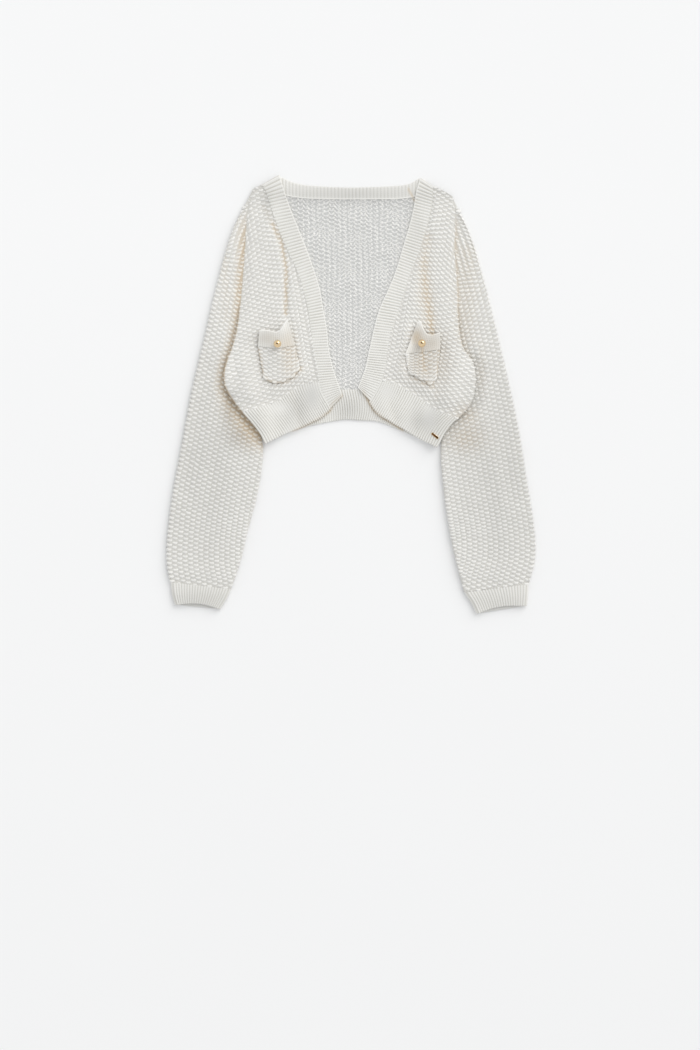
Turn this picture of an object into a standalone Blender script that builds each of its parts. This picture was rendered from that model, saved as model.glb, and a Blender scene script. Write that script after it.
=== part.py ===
"""A cropped open cardigan in thick cream knit, laid flat on its back.

Frame: X across the body, Y from hem to neck, Z up, with the origin under the middle of
the garment, on the surface that it lies on. "left" and "right" are as seen from above
with the neck away from the viewer. Sizes are in millimetres until a mesh is made.
"""

import bmesh
import bpy
import numpy as np

MM = 0.001

# Cloth
PANEL_WALL = 3.0  # the thick knit of fronts, back, sleeves and pockets
RIB_WALL = 2.5  # a ribbed trim between its ribs
RIB_HEIGHT = 0.9  # how far a rib stands out of its trim
SEAM_GAP = 0.35  # between two pieces at their seam
ARMHOLE_GAP = 1.0  # between the body and the sleeve along the curved armhole
LAYER_GAP = 0.6  # between a piece and the layer that it lies on
EDGE_ROUND = 1.2  # how far a free edge of a panel is rounded off
EDGE_RUN = 5.0  # the width of that rounding

# Number of ribs in each trim
BAND_RIBS = 77
NECK_RIBS = 48
HEM_RIBS = 29
BACK_HEM_RIBS = 66
CUFF_RIBS = 21
WELT_RIBS = 16

# Heights of the layers
FRONT_BASE = RIB_WALL + RIB_HEIGHT + LAYER_GAP  # the fronts lie on the ribbed back trims
SLEEVE_PRESSED = 2 * PANEL_WALL + 0.4  # the sleeve where the body lies on it
SLEEVE_FULL = 10.5  # the sleeve where it lies free
PRESS_MARGIN = 1.0  # pressed up to this far out from the body's edge
PRESS_RUN = 22.0  # and at its full height this much further out
CUFF_HEIGHT = 8.6
CUFF_FADE = 0.07  # the last share of the sleeve, where it narrows to the cuff's height
ARMHOLE_BOW = 0.3  # the first share of the sleeve, where its rings follow the armhole

# The body climbs onto the sleeve below the armhole
LIFT = SLEEVE_PRESSED + LAYER_GAP
LIFT_MARGIN = 2.0  # the climb ends this far in from the sleeve's hidden edge
LIFT_RUN = 34.0  # the width of the climb
LIFT_START = 165.0  # the level where the side begins to rise, and the length of the rise
LIFT_LENGTH = 85.0
RIM_HEIGHT = 3.0  # the side's free edge curls up a little more
RIM_RUN = 24.0
RIM_LEVEL = 5.0
RIM_LENGTH = 55.0

# Soft fullness of the fronts, flattened at their seams over these shares of their size
FRONT_PUFF = 2.6
SIDE_FADE = 0.2
BAND_FADE = 0.25
SHOULDER_FADE = 0.2
HEM_FADE = 0.06
HEM_ROLL = 1.8  # the cloth bulges where the tighter hem draws it in
HEM_ROLL_AT = 0.93
HEM_ROLL_WIDTH = 0.06
HEM_PUFF = 1.6  # the front hems stand a little off the back hem at their free edge


def table(columns, *rows):
    """The rows' numbers as one array for each named column."""
    return dict(zip(columns.split(), np.array(rows, float).T))


# Distances out from the centre line at each level y. "side" is the body's edge: the
# armhole fold down to the bulge of the underarm, then the side seam in to the hem's
# corner. "tuck" is the edge of the sleeve that lies hidden beneath the body.
SIDE = table(
    "y left_side right_side left_tuck right_tuck",
    (326.4, 156.0, 160.8, 156.0, 160.8),
    (294.4, 164.0, 168.0, 164.0, 168.0),
    (262.4, 167.2, 168.8, 167.2, 168.8),
    (230.4, 169.0, 168.0, 169.0, 168.0),
    (198.4, 171.4, 170.4, 171.4, 170.4),
    (166.4, 174.1, 172.2, 174.1, 172.2),
    (134.4, 177.0, 172.5, 177.0, 172.5),
    (102.4, 181.1, 174.4, 181.1, 174.4),
    (70.4, 189.6, 182.4, 184.8, 176.0),
    (51.2, 196.8, 195.2, 179.7, 175.0),
    (30.4, 201.0, 200.0, 173.6, 172.0),
    (9.6, 198.1, 199.2, 167.2, 168.0),
    (-9.6, 187.2, 195.5, 161.3, 162.4),
    (-28.8, 172.5, 183.5, 155.2, 156.8),
    (-48.0, 156.0, 163.0, 149.1, 151.5),
    (-64.0, 144.0, 151.0, 144.0, 147.7),
    (-81.6, 134.4, 141.5, 138.4, 144.0),
    (-121.6, 96.0, 104.0, 139.4, 145.4),
)

# The seam between a front and its band, and the band's free edge along the V.
OPENING = table(
    "y left_seam right_seam left_vee right_vee",
    (352.0, 148.6, 133.6, 113.0, 114.4),
    (326.4, 135.0, 131.5, 105.4, 106.4),
    (294.4, 124.3, 128.0, 94.4, 100.8),
    (262.4, 112.8, 120.0, 81.6, 92.8),
    (230.4, 99.2, 110.4, 68.8, 83.2),
    (198.4, 84.0, 97.6, 57.6, 73.6),
    (166.4, 73.6, 86.4, 48.0, 60.8),
    (134.4, 65.6, 76.8, 42.4, 46.4),
    (102.4, 61.3, 65.6, 36.8, 37.6),
    (70.4, 57.6, 59.2, 33.6, 30.4),
    (38.4, 51.2, 54.4, 26.1, 23.2),
    (6.4, 46.4, 41.6, 15.2, 11.2),
    (-25.6, 29.6, 23.2, 8.0, 3.2),
    (-57.6, 13.6, 9.6, 0.0, 0.0),
    (-89.6, 4.0, 4.0, 0.0, 0.0),
)

# A front's shoulder, hem seam and hem edge, from its side (w = 0) to its band (w = 1).
FRONT = table(
    "w left_top right_top left_seam right_seam left_end right_end",
    (0.00, 326.4, 315.7, -30.4, -41.6, -80.0, -85.6),
    (0.25, 329.0, 321.0, -21.0, -29.0, -66.4, -71.7),
    (0.50, 331.5, 325.4, -10.0, -10.0, -55.2, -55.2),
    (0.70, 333.0, 328.0, 5.5, 6.4, -44.8, -42.1),
    (0.85, 334.0, 330.0, 15.5, 17.0, -36.8, -31.2),
    (1.00, 334.9, 331.2, 20.8, 21.6, -23.4, -12.8),
)

# The band's two ends: the levels of its seam and of its free edge.
BAND_ENDS = {
    "left": {"seam": (334.9, -23.4), "vee": (350.1, -3.2)},
    "right": {"seam": (331.2, -11.2), "vee": (345.0, 9.6)},
}

# The back, from its left side (u = 0) to its right side (u = 1).
BACK_TOP = table(
    "u y",
    (0.00, 325.6),
    (0.05, 331.0),
    (0.10, 328.0),
    (0.15, 320.0),
    (0.24, 314.0),
    (0.37, 312.0),
    (0.50, 311.3),
    (0.62, 311.7),
    (0.75, 312.7),
    (0.84, 318.0),
    (0.89, 325.0),
    (0.94, 325.0),
    (1.00, 315.0),
)
BACK_HEM = table(
    "u seam end",
    (0.00, -30.4, -80.0),
    (0.12, -24.0, -66.0),
    (0.25, -13.0, -53.3),
    (0.39, 1.0, -44.0),
    (0.46, 5.8, -40.4),
    (0.54, 5.8, -41.6),
    (0.61, 3.0, -43.0),
    (0.75, -14.0, -57.0),
    (0.88, -31.0, -72.0),
    (1.00, -41.6, -85.6),
)
NECK_TOP = table(
    "u y",
    (0.120, 344.8),
    (0.155, 345.1),
    (0.190, 340.0),
    (0.240, 335.2),
    (0.300, 332.8),
    (0.400, 330.4),
    (0.500, 329.6),
    (0.600, 330.4),
    (0.700, 332.0),
    (0.760, 333.6),
    (0.800, 337.0),
    (0.840, 344.0),
    (0.870, 341.0),
)

# A sleeve's rings from armhole to cuff: the ends of each ring's line, out and y.
SLEEVE = {
    "left": table(
        "outer outer_y inner inner_y",
        (156.0, 327.2, 186.4, 78.4),
        (188.8, 259.2, 182.4, 60.8),
        (212.8, 176.0, 176.0, 38.4),
        (234.4, 86.4, 166.4, 6.4),
        (254.4, 3.2, 153.6, -33.6),
        (270.4, -83.2, 137.6, -84.8),
        (284.0, -156.8, 145.6, -153.6),
        (292.8, -227.2, 161.6, -217.6),
        (293.6, -270.4, 174.4, -270.4),
        (288.8, -300.8, 188.8, -312.0),
    ),
    "right": table(
        "outer outer_y inner inner_y",
        (163.2, 315.2, 175.2, 94.4),
        (192.0, 252.8, 176.0, 70.4),
        (212.8, 185.6, 174.4, 41.6),
        (233.6, 105.6, 168.0, 9.6),
        (252.8, 25.6, 156.8, -28.8),
        (270.4, -57.6, 144.0, -81.6),
        (283.2, -137.6, 147.2, -144.0),
        (294.4, -208.0, 156.8, -212.8),
        (296.8, -259.2, 166.4, -262.4),
        (287.0, -304.0, 180.8, -317.0),
    ),
}
CUFF = {
    "left": table(
        "outer outer_y inner inner_y",
        (286.9, -301.4, 190.0, -312.4),
        (285.0, -319.5, 196.0, -326.0),
        (280.5, -336.3, 206.4, -343.5),
    ),
    "right": table(
        "outer outer_y inner inner_y",
        (285.5, -304.6, 182.5, -317.6),
        (284.5, -322.0, 193.0, -333.5),
        (283.0, -338.1, 201.4, -350.9),
    ),
}
CUFF_MOUTH_ARCH = 5.0  # the cuff's upper edge bows back and shows the wall beneath

# Soft valleys in the fronts and sleeves: a line from (x0, y0) to (x1, y1), out and y.
FOLDS = {
    "left": table(
        "x0 y0 x1 y1 width depth",
        (136.0, 296.0, 106.0, 236.0, 7.0, 2.4),
        (106.0, 236.0, 102.5, 128.0, 6.0, 2.6),
        (92.0, -2.0, 77.0, -52.0, 7.0, 1.6),
        (232.0, 40.0, 262.0, -150.0, 16.0, 1.6),
        (215.0, -120.0, 236.0, -262.0, 18.0, 1.4),
        (200.0, 215.0, 196.0, 120.0, 10.0, 1.5),
    ),
    "right": table(
        "x0 y0 x1 y1 width depth",
        (124.0, 250.0, 119.0, 205.0, 8.0, 2.4),
        (119.0, 205.0, 125.0, 122.0, 8.0, 2.6),
        (62.0, -2.0, 74.0, -46.0, 7.0, 1.4),
        (150.0, 70.0, 138.0, -6.0, 9.0, 1.2),
        (228.0, 30.0, 258.0, -160.0, 16.0, 1.6),
        (218.0, -130.0, 226.0, -262.0, 18.0, 1.4),
        (198.0, 205.0, 194.0, 110.0, 10.0, 1.5),
    ),
}

# Patch pockets: the seam between welt and bag, the bag's foot, and the welt's free edge,
# from the pocket's left edge (a = 0) to its right edge (a = 1), as x and y.
POCKET = {
    "left": table(
        "a seam_x seam_y foot_x foot_y edge_x edge_y curl",
        (0.00, -147.2, 75.2, -138.4, 27.2, -144.8, 100.8, 0.0),
        (0.17, -137.5, 74.5, -131.0, 20.5, -137.0, 101.6, 0.2),
        (0.35, -127.5, 73.0, -120.0, 16.8, -128.0, 100.6, 0.6),
        (0.55, -116.0, 72.0, -108.5, 18.0, -116.5, 98.4, 1.6),
        (0.70, -107.0, 73.5, -99.5, 22.4, -110.5, 103.0, 3.0),
        (0.85, -97.5, 75.5, -89.5, 28.0, -105.0, 111.5, 4.4),
        (1.00, -88.0, 77.0, -79.5, 38.5, -99.6, 119.0, 5.4),
    ),
    "right": table(
        "a seam_x seam_y foot_x foot_y edge_x edge_y curl",
        (0.00, 88.0, 63.0, 93.0, 33.6, 107.5, 113.5, 5.0),
        (0.15, 95.5, 64.5, 101.0, 29.5, 112.0, 115.5, 4.6),
        (0.30, 104.0, 65.5, 109.5, 24.5, 116.0, 106.0, 3.2),
        (0.50, 116.5, 66.5, 120.0, 19.5, 122.5, 95.5, 1.6),
        (0.70, 127.0, 68.0, 128.0, 14.6, 131.0, 94.2, 0.6),
        (0.85, 135.5, 69.5, 133.0, 16.5, 137.5, 95.8, 0.2),
        (1.00, 144.0, 70.4, 138.5, 24.0, 144.0, 98.4, 0.0),
    ),
}
POCKET_GAP = 0.6  # above the curved front
POCKET_GAPE = 2.4  # how far the mouth stands open
GAPE_POWER = 1.5  # how soon the gape closes below the mouth
CURL_POWER = 1.3  # how soon the welt's curl flattens below its free edge
BUTTON = {"left": (-116.0, 80.0), "right": (115.7, 80.8)}
BUTTON_RADIUS = 6.2
BUTTON_SIDES = 16
BUTTON_RINGS = 8
SHANK_RADIUS = 2.2
SHANK_HEIGHT = 1.2

# A plain metal bar on the right hem, near its corner
BAR_CENTRE = (135.4, -67.5)
BAR_LENGTH = 13.6
BAR_WIDTH = 3.4
BAR_THICKNESS = 1.1
BAR_BEVEL = 0.3
BAR_ANGLE = -40.0
BAR_GAP = 0.6  # above the curved hem

CREAM = (0.86, 0.84, 0.78, 1.0)
GOLD = (0.80, 0.56, 0.22, 1.0)


def ramp(s):
    """0 to 1 with level ends as s goes from 0 to 1."""
    s = np.clip(s, 0.0, 1.0)
    return s * s * (3 - 2 * s)


def lerp(a, b, f):
    return a + (b - a) * f


def curve(knots, values):
    """A smooth function through the values at the knots, in any order of the knots."""
    order = np.argsort(knots)
    knots, values = knots[order], values[order]
    slopes = np.gradient(values, knots)

    def at(s):
        s = np.clip(s, knots[0], knots[-1])
        i = np.clip(np.searchsorted(knots, s) - 1, 0, len(knots) - 2)
        step = knots[i + 1] - knots[i]
        f = (s - knots[i]) / step
        start = values[i] * (1 + 2 * f) + slopes[i] * step * f
        end = values[i + 1] * (3 - 2 * f) + slopes[i + 1] * step * (f - 1)
        return start * (1 - f) ** 2 + end * f * f

    return at


def chain(knots, values):
    """The straight stretches between points of a curve, as its panel's edge has them."""
    order = np.argsort(knots)
    return lambda s: np.interp(s, knots[order], values[order])


# Grid lines of the panels: closer where the side climbs onto the sleeve.
FRONT_COLUMNS = np.array(
    (0, 0.03, 0.07, 0.12, 0.17, 0.22, 0.27, 0.32, 0.38, 0.46, 0.55, 0.65, 0.75, 0.85, 0.93, 1)
)
PANEL_ROWS = np.array((0, 0.09, 0.18, 0.27, 0.36, 0.45, 0.53, 0.6, 0.66, 0.72, 0.78, 0.84, 0.89, 0.94, 1))
BACK_COLUMNS = np.array(
    (0, 0.014, 0.03, 0.05, 0.075, 0.1, 0.125, 0.15, 0.18, 0.22, 0.26, 0.3, 0.35, 0.4, 0.45, 0.5)
)
BACK_COLUMNS = np.concatenate((BACK_COLUMNS, 1 - BACK_COLUMNS[-2::-1]))
TRIM_ROWS = np.array((0, 0.5, 1))


class Half:
    """One half of the garment, with its distances taken out from the centre line."""

    def __init__(self, name, sign):
        self.name = name
        self.sign = sign
        self.side = curve(SIDE["y"], SIDE[name + "_side"])
        self.tuck = curve(SIDE["y"], SIDE[name + "_tuck"])
        self.vee = curve(OPENING["y"], OPENING[name + "_vee"])
        self.top = curve(FRONT["w"], FRONT[name + "_top"])
        seam = curve(FRONT["w"], FRONT[name + "_seam"])
        self.hem_seam = chain(FRONT_COLUMNS, seam(FRONT_COLUMNS))
        self.hem_end = curve(FRONT["w"], FRONT[name + "_end"])
        band_seam = curve(OPENING["y"], OPENING[name + "_seam"])
        levels = lerp(self.top(1.0), self.hem_seam(1.0), PANEL_ROWS)
        levels = np.append(levels, lerp(self.hem_seam(1.0), self.hem_end(1.0), TRIM_ROWS[1:]))
        levels = np.append(levels, OPENING["y"][OPENING["y"] < levels[-1]])
        self.seam = chain(levels, band_seam(levels))

    def lift(self, out, y):
        """How far the body's underside is raised by the sleeve tucked beneath it."""
        onto = ramp((out - self.tuck(y) + LIFT_MARGIN + LIFT_RUN) / LIFT_RUN)
        down = ramp((LIFT_START - y) / LIFT_LENGTH)
        curl = ramp((out - self.side(y) + RIM_RUN) / RIM_RUN)
        return LIFT * onto * down + RIM_HEIGHT * curl * np.exp(-(((y - RIM_LEVEL) / RIM_LENGTH) ** 2))

    def rounding(self, out, y):
        """How far an outer face falls towards the body's free edge."""
        inward = np.clip(1 - (self.side(y) - out) / EDGE_RUN, 0, 1)
        return EDGE_ROUND * (1 - np.sqrt(1 - inward**2))

    def folds(self, out, y):
        """The depth of the soft valleys at a point."""
        rows = FOLDS[self.name]
        depth = np.zeros_like(out)
        for x0, y0, x1, y1, width, most in zip(*rows.values()):
            run = np.hypot(x1 - x0, y1 - y0)
            along = ((out - x0) * (x1 - x0) + (y - y0) * (y1 - y0)) / run**2
            away = np.abs((out - x0) * (y1 - y0) - (y - y0) * (x1 - x0)) / run
            beyond = np.maximum(np.abs(along - 0.5) - 0.5, 0) * run
            depth = np.maximum(depth, most * np.exp(-(away**2 + beyond**2) / width**2))
        return depth

    def front_point(self, w, y):
        """Distance out of the point a share w of the way from the side to the band."""
        return lerp(self.side(y), self.seam(y), w)

    def front_floor(self, out, y):
        """The underside of the front layer."""
        w = np.clip((self.side(y) - out) / (self.side(y) - self.seam(y)), 0, 1)
        t = np.clip((self.top(w) - y) / (self.top(w) - self.hem_seam(w)), 0, 1)
        sewn = ramp(w / SIDE_FADE) * ramp((1 - w) / BAND_FADE)
        sewn = sewn * ramp(t / SHOULDER_FADE) * ramp((1 - t) / HEM_FADE)
        roll = HEM_ROLL * np.exp(-(((t - HEM_ROLL_AT) / HEM_ROLL_WIDTH) ** 2))
        full = np.maximum(FRONT_PUFF + roll - self.folds(out, y), 0)
        return FRONT_BASE + self.lift(out, y) + full * sewn

    def front_top(self, out, y):
        return self.front_floor(out, y) + PANEL_WALL - self.rounding(out, y)

    def sleeve_height(self, out, y, station):
        """The height of the sleeve: pressed beside and under the body, full beyond it."""
        free = ramp((out - self.side(y) - PRESS_MARGIN) / PRESS_RUN)
        height = lerp(SLEEVE_PRESSED, SLEEVE_FULL - self.folds(out, y), free)
        return lerp(height, CUFF_HEIGHT, ramp((station - 1 + CUFF_FADE) / CUFF_FADE))


LEFT = Half("left", -1)
RIGHT = Half("right", 1)
HALVES = (LEFT, RIGHT)


class Solid:
    """Points and faces of one closed piece, gathered grid by grid."""

    def __init__(self):
        self.points = []
        self.faces = []

    def grid(self, x, y, z, around=False):
        """Adds a grid of points, closed on itself along its rows if around."""
        first = len(self.points)
        self.points += np.stack((x, y, z), -1).reshape(-1, 3).tolist()
        rows, columns = x.shape
        index = first + np.arange(rows * columns).reshape(rows, columns)
        if around:
            index = np.hstack((index, index[:, :1]))
        for a, b in zip(index[:-1], index[1:]):
            self.faces += np.stack((a[:-1], a[1:], b[1:], b[:-1]), -1).tolist()
        return index

    def share(self, chain):
        """How far along a chain of points each one lies, from 0 to 1."""
        steps = np.linalg.norm(np.diff(np.array(self.points)[chain], axis=0), axis=1)
        return np.concatenate(([0], np.cumsum(steps))) / steps.sum()

    def close(self, upper, lower):
        """Joins two chains of points with triangles."""
        at_upper, at_lower = self.share(upper), self.share(lower)
        i = j = 0
        while i < len(upper) - 1 or j < len(lower) - 1:
            upper_next = j == len(lower) - 1 or (
                i < len(upper) - 1 and at_upper[i + 1] <= at_lower[j + 1]
            )
            if upper_next:
                self.faces.append((upper[i], upper[i + 1], lower[j]))
                i += 1
            else:
                self.faces.append((upper[i], lower[j + 1], lower[j]))
                j += 1

    def close_rims(self, upper, lower):
        """Joins the four edges of two open grids."""
        for chain in (lambda g: g[0], lambda g: g[-1], lambda g: g[:, 0], lambda g: g[:, -1]):
            self.close(chain(upper), chain(lower))

    def build(self, name, colour, metallic=0.0, roughness=0.9):
        """Makes the object, with its faces outwards and its own material."""
        mesh = bpy.data.meshes.new(name)
        mesh.from_pydata([[c * MM for c in p] for p in self.points], [], self.faces)
        made = bmesh.new()
        made.from_mesh(mesh)
        bmesh.ops.triangulate(made, faces=made.faces)
        bmesh.ops.recalc_face_normals(made, faces=made.faces)
        if made.calc_volume(signed=True) < 0:
            bmesh.ops.reverse_faces(made, faces=made.faces)
        made.to_mesh(mesh)
        made.free()
        mesh.shade_smooth()
        mesh.set_sharp_from_angle(angle=np.radians(40))
        material = bpy.data.materials.new(name)
        material.use_nodes = True
        shader = material.node_tree.nodes["Principled BSDF"]
        shader.inputs["Base Color"].default_value = colour
        shader.inputs["Roughness"].default_value = roughness
        shader.inputs["Metallic"].default_value = metallic
        mesh.materials.append(material)
        made_object = bpy.data.objects.new(name, mesh)
        bpy.context.scene.collection.objects.link(made_object)
        return made_object


def sheet(name, place, upper_at, lower_at):
    """A wall of cloth. place(a, b) gives x, y, underside and outer face at grid lines."""
    solid = Solid()
    grids = []
    for outer, (a, b) in ((True, upper_at), (False, lower_at)):
        a, b = np.meshgrid(a, b)
        x, y, under, over = place(a, b)
        grids.append(solid.grid(x, y, over if outer else under))
    solid.close_rims(*grids)
    return solid.build(name, CREAM)


def ribbed(name, place, ribs, under_columns):
    """A trim with ribs across it. place(a, b) gives x, y and underside, a along it."""
    along = np.linspace(0, 1, 2 * ribs + 1)

    def with_ribs(a, b):
        x, y, under = place(a, b)
        crest = np.rint(a * 2 * ribs) % 2
        return x, y, under, under + RIB_WALL + RIB_HEIGHT * crest

    under = np.linspace(0, 1, under_columns)
    return sheet(name, with_ribs, (along, TRIM_ROWS), (under, TRIM_ROWS))


def body_lift(x, y):
    return LEFT.lift(-x, y) + RIGHT.lift(x, y)


def back_across(u, y):
    return lerp(-LEFT.side(y), RIGHT.side(y), u)


def make_back():
    top = chain(BACK_COLUMNS, curve(BACK_TOP["u"], BACK_TOP["y"])(BACK_COLUMNS))
    seam = chain(BACK_COLUMNS, curve(BACK_HEM["u"], BACK_HEM["seam"])(BACK_COLUMNS))
    end = curve(BACK_HEM["u"], BACK_HEM["end"])
    neck = curve(NECK_TOP["u"], NECK_TOP["y"])

    def panel(u, t):
        y = lerp(top(u), seam(u), t)
        x = back_across(u, y)
        lift = body_lift(x, y)
        under = lift + LEFT.rounding(-x, y) + RIGHT.rounding(x, y)
        return x, y, under, lift + PANEL_WALL

    def hem(u, b):
        y = lerp(seam(u) - SEAM_GAP, end(u), b)
        x = back_across(u, y)
        return x, y, body_lift(x, y)

    def neck_trim(a, b):
        u = lerp(NECK_TOP["u"][0], NECK_TOP["u"][-1], a)
        x = back_across(u, top(u))
        return x, lerp(neck(u), top(u) + SEAM_GAP, b), np.zeros_like(x)

    lines = (BACK_COLUMNS, PANEL_ROWS)
    sheet("back_panel", panel, lines, lines)
    ribbed("hem_back", hem, BACK_HEM_RIBS, 45)
    ribbed("neck_band", neck_trim, NECK_RIBS, 25)


def make_front(half):
    def panel(w, t):
        y = lerp(half.top(w), half.hem_seam(w), t)
        out = half.front_point(w, y)
        return half.sign * out, y, half.front_floor(out, y), half.front_top(out, y)

    def hem(w, b):
        y = lerp(half.hem_seam(w) - SEAM_GAP, half.hem_end(w), b)
        out = half.front_point(w, y)
        stand = np.maximum(HEM_PUFF - half.folds(out, y), 0) * ramp(b) * np.sin(np.pi * w)
        return half.sign * out, y, FRONT_BASE + half.lift(out, y) + stand

    def band(a, b):
        seam_y = lerp(*BAND_ENDS[half.name]["seam"], a)
        vee_y = lerp(*BAND_ENDS[half.name]["vee"], a)
        out = lerp(half.seam(seam_y) - SEAM_GAP, half.vee(vee_y), b)
        y = lerp(seam_y, vee_y, b)
        return half.sign * out, y, FRONT_BASE + half.lift(out, y)

    lines = (FRONT_COLUMNS, PANEL_ROWS)
    sheet(f"front_{half.name}", panel, lines, lines)
    ribbed(f"hem_{half.name}", hem, HEM_RIBS, 25)
    ribbed(f"band_{half.name}", band, BAND_RIBS, 40)


def make_pocket(half):
    rows = POCKET[half.name]
    lines = {key: curve(rows["a"], rows[key]) for key in rows}

    def above_front(x, y, stand):
        return half.front_top(half.sign * x, y) + POCKET_GAP + stand

    def gape(a):
        return POCKET_GAPE * np.sin(np.pi * a)

    def bag(a, b):
        x = lerp(lines["seam_x"](a), lines["foot_x"](a), b)
        y = lerp(lines["seam_y"](a), lines["foot_y"](a), b) - SEAM_GAP * (1 - b)
        under = above_front(x, y, gape(a) * (1 - b) ** GAPE_POWER)
        return x, y, under, under + PANEL_WALL - EDGE_ROUND * (b == 1)

    def welt(a, b):
        x = lerp(lines["edge_x"](a), lines["seam_x"](a), b)
        y = lerp(lines["edge_y"](a), lines["seam_y"](a), b)
        return x, y, above_front(x, y, gape(a) + lines["curl"](a) * (1 - b) ** CURL_POWER)

    across, down = np.linspace(0, 1, 11), np.linspace(0, 1, 9)
    sheet(f"pocket_{half.name}", bag, (across, down), (across, down))
    ribbed(f"pocket_welt_{half.name}", welt, WELT_RIBS, 13)
    make_button(half, welt)


def make_button(half, welt):
    """A polished ball on a short shank, seated on the welt."""
    x, y, under = welt(*np.meshgrid(np.linspace(0, 1, 81), np.linspace(0, 1, 41)))
    centre_x, centre_y = BUTTON[half.name]
    near = np.hypot(x - centre_x, y - centre_y) < SHANK_RADIUS + 1
    seat = under[near].max() + RIB_WALL + RIB_HEIGHT + SEAM_GAP
    start = np.arcsin(SHANK_RADIUS / BUTTON_RADIUS)
    turn = np.linspace(start, np.pi, BUTTON_RINGS + 1)
    radius = np.append(SHANK_RADIUS, BUTTON_RADIUS * np.sin(turn[:-1]))[:, None]
    ball = seat + SHANK_HEIGHT + BUTTON_RADIUS * (np.cos(start) - np.cos(turn))
    height = np.append(seat, ball[:-1])[:, None]
    angle = np.arange(BUTTON_SIDES) * 2 * np.pi / BUTTON_SIDES
    solid = Solid()
    rings = solid.grid(
        centre_x + radius * np.cos(angle),
        centre_y + radius * np.sin(angle),
        height + 0 * angle,
        around=True,
    )
    solid.faces.append(rings[0][:-1].tolist())
    solid.points.append((centre_x, centre_y, ball[-1]))
    pole = len(solid.points) - 1
    for edge in zip(rings[-1][:-1].tolist(), rings[-1][1:].tolist()):
        solid.faces.append((*edge, pole))
    solid.build(f"button_{half.name}", GOLD, metallic=1.0, roughness=0.25)


class Rings:
    """The lines that a flattened tube's rings are built on, from inner to outer side."""

    def __init__(self, half, rows, stations, follows_armhole=False):
        knots = np.linspace(0, 1, len(rows["outer"]))
        self.ends = {key: curve(knots, rows[key]) for key in rows}
        self.half = half
        self.stations = stations
        self.follows_armhole = follows_armhole

    def straight(self, station, f):
        """Distance out and level y, a share f of the way across the ring's line."""
        out = lerp(self.ends["inner"](station), self.ends["outer"](station), f)
        return out, lerp(self.ends["inner_y"](station), self.ends["outer_y"](station), f)

    def point(self, station, f):
        """The same point, bowed to the armhole near it."""
        out, y = self.straight(station, f)
        if self.follows_armhole:
            first_out, first_y = self.straight(0.0, f)
            bow = self.half.side(first_y) + ARMHOLE_GAP - first_out
            out = out + bow * (1 - ramp(station / ARMHOLE_BOW))
        return out, y

    def width(self, station):
        (out_a, y_a), (out_b, y_b) = self.point(station, 0.0), self.point(station, 1.0)
        return np.hypot(out_b - out_a, y_b - y_a)


# A tube's ring: columns on its flat underside, and turns round each side.
UNDER_COLUMNS = np.linspace(1, 0, 8)
TURNS = np.linspace(-np.pi / 2, np.pi / 2, 6)[1:-1]


def tube(name, rings, height, wall, columns, crest, arch=0.0):
    """A flattened tube, its underside flat on the ground and its two ends open.

    height(out, y, station) is its height. Its upper side has the columns, raised by the
    crest. The end of the upper side is drawn back by the arch, a share of the length.
    """
    solid = Solid()
    grids = []
    for inset, raised in ((0.0, crest), (wall, 0 * crest)):
        ring_grid = []
        for station in rings.stations:
            half_in = height(*rings.point(station, 0.0), station) / 2
            half_out = height(*rings.point(station, 1.0), station) / 2
            start = half_in / rings.width(station)
            end = 1 - half_out / rings.width(station)
            round_in = (half_in - inset) / rings.width(station) * np.cos(TURNS)
            round_out = (half_out - inset) / rings.width(station) * np.cos(TURNS)
            f = np.concatenate(
                (
                    lerp(start, end, columns),
                    end + round_out,
                    lerp(start, end, UNDER_COLUMNS),
                    start - round_in,
                )
            )
            level = np.concatenate(
                (
                    np.ones_like(columns),
                    np.sin(TURNS[::-1]),
                    -np.ones_like(UNDER_COLUMNS),
                    np.sin(TURNS),
                )
            )
            rest = np.zeros(len(f) - len(columns))
            drawn = np.append(arch * np.sin(np.pi * columns) * (station == 1), rest)
            out, y = rings.point(station - drawn, f)
            half_height = height(out, y, station) / 2
            z = half_height + level * (half_height - inset) + np.append(raised, rest)
            ring_grid.append((rings.half.sign * out, y, z))
        x, y, z = np.array(ring_grid).transpose(1, 0, 2)
        grids.append(solid.grid(x, y, z, around=True))
    for end in (0, -1):
        solid.close(grids[0][end], grids[1][end])
    solid.build(name, CREAM)


SLEEVE_COLUMNS = np.linspace(0, 1, 13)
SLEEVE_STATIONS = np.linspace(0, 1, 21)
CUFF_COLUMNS = np.linspace(0, 1, 2 * CUFF_RIBS + 1)


def make_sleeve(half):
    rings = Rings(half, SLEEVE[half.name], SLEEVE_STATIONS, follows_armhole=True)
    name = f"sleeve_{half.name}"
    tube(name, rings, half.sleeve_height, PANEL_WALL, SLEEVE_COLUMNS, 0 * SLEEVE_COLUMNS)


def make_cuff(half):
    rows = CUFF[half.name]
    rings = Rings(half, rows, TRIM_ROWS)
    crest = RIB_HEIGHT * (np.arange(2 * CUFF_RIBS + 1) % 2)
    arch = CUFF_MOUTH_ARCH / np.ptp(rows["outer_y"])

    def height(out, y, station):
        return CUFF_HEIGHT - RIB_HEIGHT + 0 * out

    tube(f"cuff_{half.name}", rings, height, RIB_WALL, CUFF_COLUMNS, crest, arch)


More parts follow.
